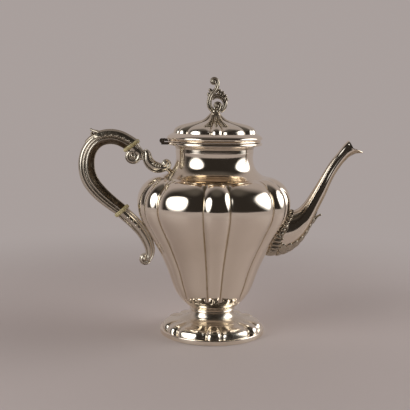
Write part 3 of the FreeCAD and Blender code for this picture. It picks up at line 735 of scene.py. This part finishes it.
# ---- spout ----
SPOUT_STATIONS = [
    # upper x, z, lower x, z, half width along Y
    (57.0, 113.0, 36.0, 78.0, 15.5),
    (71.0, 118.4, 52.5, 76.5, 15.0),
    (79.5, 120.2, 69.5, 79.0, 13.8),
    (85.2, 124.6, 83.2, 88.6, 12.0),
    (89.6, 130.2, 94.0, 106.0, 9.8),
    (94.6, 138.2, 100.6, 120.8, 7.8),
    (100.4, 148.0, 107.2, 135.0, 6.4),
    (107.0, 159.7, 113.6, 150.6, 5.4),
    (113.6, 170.0, 120.4, 162.4, 4.9),
    (120.2, 178.9, 127.0, 170.6, 4.9),
    (128.6, 187.6, 134.2, 175.0, 5.3),
    (140.4, 189.4, 142.0, 175.4, 5.6),
]
LIP_EDGE = [(125.6, 190.4), (128.8, 186.0), (131.8, 180.4), (136.0, 179.0), (142.4, 175.6), (160, 168)]
SPOUT_CURVE = smooth_curve(SPOUT_STATIONS, 400)
SPOUT_SHARES = np.linspace(0, 1, len(SPOUT_CURVE))


def spout_point(angle, share, lift=0.0):
    """Points on the spout. angle is 0 along its top and pi beneath, share runs to the lip."""
    top_x, top_z, low_x, low_z, half = (np.interp(share, SPOUT_SHARES, c) for c in SPOUT_CURVE.T)
    across_x, across_z = (top_x - low_x) / 2, (top_z - low_z) / 2
    height = np.hypot(across_x, across_z)
    out_a, out_y = np.cos(angle) / height, np.sin(angle) / half
    size = np.hypot(out_a, out_y)
    a = np.cos(angle) + lift * out_a / size / height
    y = half * np.sin(angle) + lift * out_y / size
    return np.stack([(top_x + low_x) / 2 + across_x * a, y, (top_z + low_z) / 2 + across_z * a], -1)


ANGLE, DIP, _ = lobe_table(BODY_GROOVE, GROOVE_SOFTNESS)
ORDER = np.argsort(ANGLE % TAU)


def inside_body(points):
    """How far points lie inside the body's outer surface, in millimetres along the radius."""
    x, y, z = points[..., 0], points[..., 1], points[..., 2]
    crest = np.interp(z, BODY_CURVE[:, 1], BODY_CURVE[:, 0])
    dip = np.interp(np.arctan2(y, x) % TAU, (ANGLE % TAU)[ORDER], DIP[ORDER], period=TAU)
    return crest * (1 - dip) - np.hypot(x, y)


def seam_share(angle, sink=0.0):
    """Where the spout's line at this angle leaves the body."""
    share = np.linspace(0, 0.55, 500)
    depth = inside_body(spout_point(angle[:, None], share[None])) - sink
    last = len(share) - 1 - np.argmax((depth > 0)[:, ::-1], axis=1)
    return share[last]


def lip_share(angle):
    share = np.linspace(0.7, 1, 700)
    points = spout_point(angle[:, None], share[None])
    edge_x, edge_z = np.array(LIP_EDGE).T
    above = points[..., 2] > np.interp(points[..., 0], edge_x, edge_z)
    above &= points[..., 0] > edge_x[0]
    return share[np.argmax(above, axis=1)]


def spout():
    angle = circle(400)
    turned_angle = np.minimum(angle, TAU - angle)
    start, end = evened(seam_share(angle, 0.5), 6), evened(lip_share(angle), 6)
    along = np.linspace(0, 1, 196)[:, None]
    share = start + (end - start) * along
    along_reeds = smoothstep(0.84, 0.74, share)
    reeds = sum(bump(turned_angle, math.radians(d), 0.12) for d in (14, 34, 54)) * along_reeds
    keels = sum(bump(math.pi - turned_angle, math.radians(d), 0.11) for d in (0, 22, 42))
    flank = bump(math.pi - turned_angle, math.radians(78), 0.26) * smoothstep(0.30, 0.42, share)
    ends = smoothstep(0.0, 0.12, share) * smoothstep(0.0, 0.05, end - share)
    relief = (0.34 * reeds + 0.30 * keels + 0.95 * flank) * ends
    lip = 0.30 * bump(end - share, 0.006, 0.006)
    outer = spout_point(angle, share, relief + lip)
    # Painted shade between the reeds on top and over the underside.
    between = (1 - np.clip(reeds, 0, 1)) * (turned_angle < 1.1) * along_reeds
    beneath = (1.0 - 0.5 * np.clip(keels, 0, 1)) * smoothstep(2.00, 2.25, turned_angle)
    shade_and_tarnish = np.clip(0.85 * between + beneath, 0, 1)
    inner_along = np.linspace(1, 0, 48)[:, None]
    inner = spout_point(angle, start + (end - start) * inner_along, -WALL)
    rows = np.vstack([outer, inner])
    # The inside of the spout carries painted shade.
    shade_and_tarnish = np.vstack([shade_and_tarnish, np.full(inner.shape[:2], 0.3)])
    part = grid(rows, closed_rows=True, tarnish_and_shade=shade_and_tarnish)
    make("spout_swan_neck", part, SHEET, ["spout_left", "spout_right"], angle=70)


def root_border():
    """The cast leaf border over the seam: fluted leaves, beads and an open loop."""
    angle = circle(420)
    start = evened(seam_share(angle, -0.2), 4)
    here = spout_point(angle, start)
    pace = np.linalg.norm(spout_point(angle, start + 0.01) - here, axis=1) / 0.01
    around = lengths(here)
    pitch = around[-1] / round(around[-1] / 4.2)
    beneath = smoothstep(0.9, 2.5, np.minimum(angle, TAU - angle))
    width = 5.2 + 6.2 * beneath
    flutes = 0.5 + 0.5 * np.cos(around / pitch * TAU)
    scallop = width * (0.80 + 0.20 * np.sqrt(flutes))
    v = np.linspace(0, 1, 34)[:, None]
    leaning = 0.5 + 0.5 * np.cos((around + 2.4 * v) / pitch * TAU)
    edge = np.sin(math.pi * np.clip(v, 0.02, 0.98)) ** 0.4
    height = edge * (0.30 + 1.50 * leaning**0.8 + 0.30 * bump(v, 0.10, 0.08))
    outer = spout_point(angle, start + v * scallop / pace, height)
    inner = spout_point(angle, start + v[::-1] * scallop / pace, -0.3)
    parts = [grid(np.vstack([outer, inner]), closed_rows=True)]
    for side in (-1, 1):
        loop = []
        for degrees, forward in ((64, 3.2), (72, 6.2), (84, 6.8), (94, 4.6), (88, 2.2), (74, 1.6)):
            a = np.array([side * math.radians(degrees) % TAU])
            place = np.interp(a, angle, start) + forward / np.interp(a, angle, pace)
            loop.append(spout_point(a, place, 0.55)[0])
        closed = smooth_curve([*loop, loop[0]], 40)
        parts += [ball(point, 0.62, count=10) for point in closed]
        for degrees in range(100, 165, 13):
            a = np.array([side * math.radians(degrees) % TAU])
            place = np.interp(a, angle, start + 0.97 * width / pace)
            parts.append(ball(spout_point(a, place, 0.8)[0], 1.25))
    cast("spout_root_leaves", parts, DARK_CAST, "spout_root_border", voxel=0.25)


def keel_leaf():
    """The acanthus leaf beneath the spout, with a free curl at its end."""
    t = np.linspace(0, 1, 240)[:, None]
    v = np.linspace(-1, 1, 100)[None]
    share = 0.15 + 0.33 * t
    lobes = 8
    tooth = 0.84 + 0.16 * np.sin(math.pi * (t * lobes % 1.0)) ** 0.6
    angle = math.pi + v * np.radians(66 - 36 * t) * tooth
    chevron = np.sin(math.pi * ((t + 0.12 * abs(v)) * lobes % 1.0)) ** 0.8
    ribs = 0.5 + 0.5 * np.cos(abs(v) * 19)
    body = (1 - abs(v) ** 10) * (0.50 + 0.70 * chevron + 0.75 * ribs) + 0.4 * bump(v, 0, 0.06)
    body = body * smoothstep(0, 0.03, t) * (0.35 + 0.65 * smoothstep(1.0, 0.8, t))
    outer = spout_point(angle, share, 0.2 + body)
    inner = spout_point(angle, share, -0.3)[:, ::-1]
    leaf = grid(np.concatenate([outer, inner], axis=1), caps=True)
    high = extent("spout_keel_leaf")[1]
    tip = np.array([high[0] - 1.1, high[2] - 1.3])
    path = smooth_curve([tip - (8.2, 8.0), tip - (4.2, 2.9), tip - (1.4, 0.6), tip], 30)
    curl = swept(path, [2.0, 1.7, 1.2, 0.8], [4.6, 3.4, 2.0, 1.0], oval_section(24), 1.5, 0.6)
    bead = ball((tip[0], 0, tip[1]), 1.25)
    cast("spout_leaf", [leaf, curl, bead], DARK_CAST, "spout_keel_leaf", voxel=0.25)


# ---- handle ----
UPPER = centre_of("upper_insulator")
LOWER = centre_of("lower_insulator")
UPPER_ALONG = np.array([0.592, -0.806])
LOWER_ALONG = np.array([0.659, -0.752])
DISC_HALF = 1.3  # the grip and the sockets start this far from a disc's middle
DISC_THICK_HALF = 1.9  # the visible disc laps over their ends
GRIP_PATH = [
    UPPER - UPPER_ALONG * DISC_HALF,
    (-89.0, 186.2), (-100.0, 187.9), (-111.0, 184.4), (-119.0, 175.0), (-121.7, 162.5),
    (-118.6, 147.6), (-110.2, 136.0),
    LOWER - LOWER_ALONG * DISC_HALF,
]
GRIP_CURVE = smooth_curve(GRIP_PATH, 320)
GRIP_HALF_WIDTHS = [7.0, 6.8, 6.7, 7.1, 7.8, 8.0, 7.7, 7.1, 6.4]
GRIP_HALF_DEPTH = 5.7
# The +Y half of the grip's section, from its inner keel (width -1) to its outer edge (width 1).
GRIP_SECTION = section_from(
    [
        (-1.0, 0.0), (-0.97, 0.20), (-0.88, 0.28), (-0.78, 0.24), (-0.66, 0.34), (-0.52, 0.52),
        (-0.38, 0.74), (-0.28, 0.90), (-0.16, 0.96), (-0.06, 0.90), (0.00, 0.78), (0.06, 0.78),
        (0.14, 0.92), (0.24, 0.96), (0.33, 0.90), (0.38, 0.76), (0.44, 0.74), (0.54, 0.82),
        (0.68, 0.76), (0.82, 0.60), (0.94, 0.34), (1.0, 0.0),
    ]
)


def grip():
    path = GRIP_CURVE[::-1]
    ends = ((0, LOWER_ALONG), (-1, UPPER_ALONG))
    points, faces, _ = swept(path, GRIP_HALF_WIDTHS[::-1], GRIP_HALF_DEPTH, GRIP_SECTION, square=ends)
    width = GRIP_SECTION[:, 0]
    # Painted shade on the inner flank, the side towards the pot, and in the two grooves.
    flank = smoothstep(-0.14, -0.34, width) * smoothstep(-1.0, -0.86, width)
    grooves = bump(width, 0.03, 0.05) + bump(width, 0.41, 0.05)
    shade_and_tarnish = np.clip(1.1 * flank + 0.75 * grooves, 0, 1)
    part = points, faces, np.tile(shade_and_tarnish, len(path))
    make("handle_scroll", part, CAST, ["handle_grip"], angle=180)


def thumb_leaf():
    """The long acanthus leaf that wraps the grip's outer side, with a curled tip."""
    count, across = 260, 80
    path = resampled(GRIP_CURVE[: int(0.36 * len(GRIP_CURVE))], count)
    along, outward = tangents(path), normals(path)
    t = np.linspace(0, 1, count)[:, None]
    v = np.linspace(-1, 1, across)[None]
    half_w = 7.0 + 0.4 * t
    teeth = 7
    wave = t * teeth % 1.0
    reach = (1.46 - 0.95 * smoothstep(0.66, 1.0, t)) * (0.89 + 0.11 * np.sin(math.pi * wave) ** 0.7)
    angle = v * reach
    ribs = 0.5 + 0.5 * np.cos(angle * 9.5)
    husks = np.sin(math.pi * ((t + 0.06 * abs(v)) * teeth % 1.0)) ** 0.6
    lift = (1 - abs(v) ** 8) * (0.15 + 0.60 * ribs + 0.40 * husks * abs(v) ** 2)
    depth = GRIP_HALF_DEPTH + 0.15

    def placed(extra):
        w = half_w * np.cos(angle) + extra * np.cos(angle)
        y = (depth + extra) * np.sin(np.clip(angle, -1.5, 1.5))
        return cut_square(beside(path, outward, w, y), path, 0, UPPER_ALONG)

    inner = placed(-0.9 + 0 * lift)[:, ::-1]
    leaf = grid(np.concatenate([placed(lift - 0.2), inner], axis=1), caps=True)
    low, high = extent("handle_thumb_leaf")
    tip = np.array([low[0] + 0.9, high[2] - 1.0])
    root = int(0.70 * count)
    curl_path = [path[root] + outward[root] * 6.4, tip + (7.0, -2.4), tip + (2.6, -1.2), tip]
    curl_path = smooth_curve(curl_path, 40)
    curl = swept(curl_path, [1.6, 1.6, 1.3, 0.9], [4.6, 3.6, 2.3, 1.2], oval_section(24), 1.0, 0.8)
    beads = [ball((tip[0] - 0.1, 0, tip[1]), 1.2), ball((tip[0] + 0.6, 0, tip[1] - 3.6), 1.5)]
    parts = [leaf, curl, *beads]
    for k in range(teeth - 1):
        at = int((k + 0.5) / teeth * count * 0.86)
        turn = 1.34 - 0.5 * smoothstep(0.66, 1, at / count)
        spot = path[at] + outward[at] * half_w[at] * math.cos(turn)
        back, front = spot - along[at] * 1.9, spot + along[at] * 1.9 + outward[at] * 1.2
        dash = swept(smooth_curve([back, spot, front], 14), 0.9, 0.9, oval_section(14), 0.7, 0.7)
        for side in (-1, 1):
            shift = np.array([0, side * (depth + 0.1) * math.sin(turn), 0])
            parts.append((dash[0] + shift, dash[1], dash[2]))
    cast("thumb_acanthus", parts, DARK_CAST, "handle_thumb_leaf", voxel=0.22)


def insulator(name, centre, along, half_height, node):
    """A slightly uneven disc with rounded edges."""
    around, half_depth, thick = circle(72), 6.4, DISC_THICK_HALF
    uneven = 1 + 0.022 * np.sin(3 * around + half_height) + 0.014 * np.sin(7 * around)
    profile = [(-thick, 0.2), (-thick, 0.88), (-thick * 0.8, 0.965), (-thick * 0.35, 1.0)]
    profile += [(-d, s) for d, s in profile[::-1]]
    rows = []
    for depth, size in profile:
        w = size * uneven * half_height * np.cos(around)
        y = size * uneven * half_depth * np.sin(around)
        x, z = centre + along * depth
        rows.append(np.column_stack([x - along[1] * w, y, z + along[0] * w]))
    make(name, grid(rows, caps=True), IVORY, [node], angle=60)


# A moulded scroll: bright edge, groove, rounded middle, groove, edge.
SCROLL_SECTION = mirrored_section(
    1.0, [(0.40, 0.90), (0.58, 0.72), (0.70, 0.88), (0.88, 0.84), (1.0, 0.55), (1.0, 0.0)]
)


def roll(centre, outer, band, start_angle, turn, depth):
    """A rolled end: a band of the given half width that winds inwards round an eye."""
    path = spiral(centre, outer - band, band * 0.55, start_angle, turn, 180)
    (x, z), around, half, edge = centre, circle(48), 0.72 * depth, outer - band
    plate = []
    for y, r in ((-half, 0.3), (-half, edge), (half, edge), (half, 0.3)):
        plate.append(np.column_stack([x + r * np.cos(around), 0 * around + y, z + r * np.sin(around)]))
    coil = swept(path, [band, band * 0.9, band * 0.6], depth, SCROLL_SECTION, 1.0, 0.8)
    eyes = [ball((x, side * 0.84 * depth, z), band * 0.62) for side in (-1, 1)]
    return joined(coil, grid(plate, caps=True), *eyes)


def upper_socket():
    """The volute that holds the upper insulator."""
    start = UPPER + UPPER_ALONG * DISC_HALF
    path = [start, start + UPPER_ALONG * 4.4 + (0.5, 0.4), (-70.6, 172.0), (-71.4, 167.0)]
    path = smooth_curve(path, 60)
    square = ((0, UPPER_ALONG),)
    stem = swept(path, [6.9, 5.8, 4.2, 2.8], [5.7, 5.4, 5.4, 5.3], SCROLL_SECTION, 0, 1.5, square)
    volute = roll((-77.9, 170.8), 9.2, 2.7, 20, -520, 5.3)
    cast("handle_volute", [stem, volute], CAST, "upper_socket", voxel=0.24)


def upper_bracket():
    """The S-scroll from the volute to the neck, which ends in a roll."""
    path = [(-67.2, 176.2), (-65.0, 174.4), (-63.4, 167.4), (-59.7, 162.2), (-54.4, 159.7)]
    path = smooth_curve([*path, (-48.6, 159.4), (-45.0, 159.6)], 120)
    widths, depths = [1.6, 3.8, 4.8, 5.2, 5.3, 4.4, 2.6], [3.0, 4.3, 4.7, 4.8, 4.8, 4.8, 4.7]
    scroll = swept(path, widths, depths, SCROLL_SECTION, 1.6, 1.0)
    end = roll((-46.3, 163.0), 5.9, 2.6, -110, 430, 4.7)
    path = smooth_curve([(-47.0, 159.8), (-43.8, 157.8), (-41.2, 155.4)], 20)
    foot = swept(path, [2.2, 2.2, 2.0], [4.2, 4.2, 3.6], oval_section(40), 1.0, 0.6)
    path = smooth_curve([(-70.8, 172.2), (-67.4, 172.4), (-63.6, 170.8)], 20)
    link = swept(path, [2.4, 1.9, 2.6], 3.6, oval_section(32))
    leaves = []
    for k, (x, z) in enumerate(((-57.6, 163.6), (-55.2, 162.2), (-52.8, 161.4), (-50.6, 161.2))):
        leaves += [ball((x, side * 4.5, z), 1.3 - 0.1 * k, 0.8) for side in (-1, 1)]
    cast("neck_scroll", [scroll, end, foot, link, *leaves], CAST, "upper_bracket", voxel=0.24)


def lower_socket():
    """The scroll from the lower insulator down the body, which ends in a roll."""
    start = LOWER + LOWER_ALONG * DISC_HALF
    path = [start, (-77.6, 108.0), (-70.4, 100.4), (-64.6, 91.4), (-61.2, 82.6)]
    path = smooth_curve([*path, (-60.9, 75.8), (-63.0, 69.6)], 160)
    widths, depths = [6.1, 6.0, 5.9, 5.5, 5.1, 4.5, 3.0], [5.4, 5.3, 5.2, 5.2, 5.2, 5.2, 5.1]
    scroll = swept(path, widths, depths, SCROLL_SECTION, 0, 1.2, ((0, LOWER_ALONG),))
    end = roll((-65.6, 71.6), 6.6, 2.8, -20, -430, 5.0)
    husks = []
    for k in range(4):
        spot = path[int((0.14 + 0.09 * k) * len(path))]
        husks += [ball((spot[0], side * 4.6, spot[1]), 1.6 - 0.14 * k, 0.7) for side in (-1, 1)]
    cast("body_scroll", [scroll, end, *husks], CAST, "lower_socket", voxel=0.26)


# ---- finial ----
def finial():
    """Openwork of cast scrolls: a tall S, an arch, an inner hook and leaf sprigs."""
    low, high = extent("finial")
    top, depth = high[2], (high[1] - low[1]) / 2
    section = mirrored_section(0.78, [(0.3, 0.94), (0.62, 0.92), (0.9, 0.6), (1, 0)])

    def scroll(path, widths, share=1.0, start=0.8):
        return swept(path, widths, depth * share, section, start, 0.6)

    crown = spiral((-1.6, top - 4.6), 2.9, 0.9, 20, 420, 110)
    lead = [(-0.8, 213.0), (-4.9, 217.4), (-5.6, 223.4), (-3.4, 229.2), (0.2, 233.8), (1.9, 238.4)]
    lead = smooth_curve([*lead, crown[0], crown[5]], 120)
    lead = resampled(np.vstack([lead[:-1], crown[6:]]), 240)
    parts = [scroll(lead, [2.4, 2.4, 2.4, 2.4, 2.3, 2.1, 2.0, 1.8, 1.6, 1.3])]
    hook = spiral((1.8, 218.8), 3.0, 0.8, -20, 400, 110)
    stalk = smooth_curve([(0.9, low[2]), (1.4, 213.4), (3.4, 215.2), hook[0], hook[5]], 40)
    stalk = resampled(np.vstack([stalk[:-1], hook[6:]]), 160)
    parts.append(scroll(stalk, [3.0, 2.4, 2.1, 1.9, 1.7, 1.6, 1.4, 1.2], start=0))
    arch = [(-3.4, 225.0), (-0.8, 227.2), (3.0, 227.6), (7.2, 225.4), (9.2, 221.4)]
    arch = smooth_curve([*arch, (8.2, 216.8), (4.6, 213.2)], 120)
    parts.append(scroll(arch, [2.0, 2.2, 2.3, 2.3, 2.2, 2.1, 1.9], 0.9))
    sprigs = [
        ((-4.6, 227.4), (-6.2, 229.2), (-7.2, 231.0)), ((-3.0, 231.2), (-4.8, 233.2), (-6.2, 234.6)),
        ((2.6, 229.8), (3.6, 232.2), (5.0, 234.2)), ((5.0, 228.2), (6.6, 230.6), (8.2, 232.2)),
        ((7.6, 226.2), (9.4, 228.0), (10.8, 229.0)), ((9.4, 223.6), (10.8, 225.0), (11.8, 226.0)),
    ]
    depths = [depth * 0.8, depth * 0.7, 1.4]
    for sprig in sprigs:
        path = smooth_curve(sprig, 24)
        parts.append(swept(path, [1.9, 1.8, 1.3], depths, oval_section(20), 0.6, 1.0))
    parts += [ball((-1.6, 0, top - 4.6), 1.5, 1.5), ball((1.8, 0, 218.8), 1.5, 1.6)]
    base = [(0.2, 0.1, 0), (3.1, 0.1, 0.2), (2.9, 1.4, 0.3), (2.2, 2.0, 0.2), (0.2, 2.2, 0)]
    parts.append(turned(rounded(np.array(base) + (0, low[2], 0)), 48))
    cast("finial_openwork", parts, DARK_CAST, "finial", voxel=0.17, body="lid")


# ---- studio ----
BACKDROP = (0.396, 0.348, 0.334)
SOFTBOX_DISTANCE = 1.10


def softbox(name, azimuth, width, height, low, radiance, full):
    """A round-cornered light facing the pot, fading out towards its edges. azimuth is from the
    camera's side towards +X, in degrees, and low is the height of its lower edge, in metres. full
    is the share of its size that has full strength."""
    light = bpy.data.lights.new(name, "AREA")
    light.shape = "RECTANGLE"
    light.size, light.size_y = width, height
    light.energy = radiance * math.pi * width * height
    light.use_nodes = True
    tree = light.node_tree
    place = add(tree, "NewGeometry", {}, "Parametric")
    centred = add(tree, "VectorMath", {0: place, 1: (0.5, 0.5, 0)}, operation="SUBTRACT")
    squared = add(tree, "VectorMath", {0: centred, 1: centred}, operation="MULTIPLY")
    from_middle = add(tree, "VectorMath", {0: squared, 1: (4, 4, 0)}, "Value", operation="DOT_PRODUCT")
    fade = ranged(tree, from_middle, full**2, 1, 1, 0, "SMOOTHERSTEP")
    put(tree, tree.nodes["Emission"], {"Strength": fade})
    holder = shown(name, light)
    a = math.radians(azimuth)
    middle = Vector((0, 0, low + height / 2))
    holder.location = middle + Vector((math.sin(a), -math.cos(a), 0)) * SOFTBOX_DISTANCE
    holder.rotation_euler = (middle - holder.location).to_track_quat("-Z", "Y").to_euler()
    holder.visible_camera = False


def floor():
    """A pale table that melts into the backdrop, and reflects in the silver only near the pot."""
    near, far, drop = 0.95, 8.0, 0.00005
    material, tree, shader = new_material("pale_table")
    shader.inputs["Base Color"].default_value = (0.69, 0.605, 0.58, 1)
    shader.inputs["Roughness"].default_value = 0.65
    glow = add(tree, "Emission", {"Color": (*BACKDROP, 1)}, "Emission")
    place = add(tree, "TexCoord", {}, "Object")
    size = add(tree, "VectorMath", {0: place}, "Value", operation="LENGTH")
    fade = ranged(tree, size, 0.16, 0.62)
    blend = {"Fac": fade, 1: shader.outputs["BSDF"], 2: glow}
    put(tree, tree.nodes["Material Output"], {"Surface": add(tree, "MixShader", blend, "Shader")})
    around = circle(128)
    edge = np.column_stack([np.cos(around), np.sin(around), 0 * around])
    for name, radii in (("table_near", (0.0005, near)), ("table_far", (near, far))):
        part = grid([edge * r for r in radii])
        if name == "table_near":
            part[1].append(list(range(len(around))))
        table = shown(name, mesh_of(name, part, 1))
        table.data.materials.append(material)
        table.location.z = -drop
        table.visible_glossy = name == "table_near"


def world():
    """The camera sees the plain backdrop. The silver sees a dark room in front, greyer overhead,
    and the pale backdrop behind and at the sides."""
    scene_world = bpy.data.worlds.new("studio")
    bpy.context.scene.world = scene_world
    scene_world.use_nodes = True
    tree = scene_world.node_tree
    backdrop = tree.nodes["Background"]
    backdrop.inputs["Color"].default_value = (*BACKDROP, 1)
    place = add(tree, "TexCoord", {}, "Generated")
    split = add(tree, "SeparateXYZ", {0: place}, "Z").node

    def mixed(factor, a, b):
        return add(tree, "Mix", {"Factor": factor, "A": a, "B": b}, "Result", data_type="RGBA")

    overhead = ranged(tree, split.outputs["Z"], 0.75, 0.98)
    front = mixed(overhead, (0.026, 0.022, 0.019, 1), (0.09, 0.08, 0.07, 1))
    behind = ranged(tree, split.outputs["Y"], -0.05, 0.45)
    room = add(tree, "Background", {"Color": mixed(behind, front, (*BACKDROP, 1))}, "Background")
    seen = add(tree, "LightPath", {}, "Is Camera Ray")
    choose = add(tree, "MixShader", {"Fac": seen, 1: room, 2: backdrop.outputs["Background"]}, "Shader")
    put(tree, tree.nodes["World Output"], {"Surface": choose})


def camera():
    data = bpy.data.cameras.new("camera")
    data.sensor_width = 36.0
    data.lens = 70.2
    holder = shown("camera", data)
    target, distance = Vector((-8.4, 0, 124.0)) * MM, 0.768
    azimuth, pitch, tilt = math.radians(-1.8), math.radians(7.5), math.radians(0.8)
    level = math.cos(pitch)
    back = Vector((math.sin(azimuth) * level, -math.cos(azimuth) * level, math.sin(pitch)))
    holder.location = target + back * distance
    turn = (-back).to_track_quat("-Z", "Y").to_matrix().to_4x4()
    holder.rotation_euler = (turn @ Matrix.Rotation(tilt, 4, "Z")).to_euler()
    bpy.context.scene.camera = holder


# ---- scene ----
camera()
world()
floor()
softbox("left_softbox", azimuth=-57, width=1.12, height=1.34, low=-0.12, radiance=3.5, full=0.30)
softbox("right_softbox", azimuth=92, width=1.42, height=1.34, low=-0.08, radiance=3.0, full=0.40)
BUILDERS = [body_shell, neck, neck_wire, mouth_rim, stem_collar, foot_dome, foot_rim]
BUILDERS += [lid_dome, lid_rim, lid_bezel, finial_collar, finial, spout, root_border, keel_leaf]
BUILDERS += [grip, thumb_leaf, upper_socket, upper_bracket, lower_socket]
for build in BUILDERS:
    build()
insulator("upper_disc", UPPER, UPPER_ALONG, 9.0, "upper_insulator")
insulator("lower_disc", LOWER, LOWER_ALONG, 8.3, "lower_insulator")
PINS = ["hinge_pin", "upper_insulator_pins", "lower_insulator_pins", "finial_stud", "finial_nut"]
for material, cad_nodes in ((SHEET, ["body_hinge_leaf", "lid_hinge_leaf"]), (WIRE, PINS)):
    for node in cad_nodes:
        coat(frame["nodes"][node].data, material)

bpy.context.scene.view_settings.view_transform = "Standard"
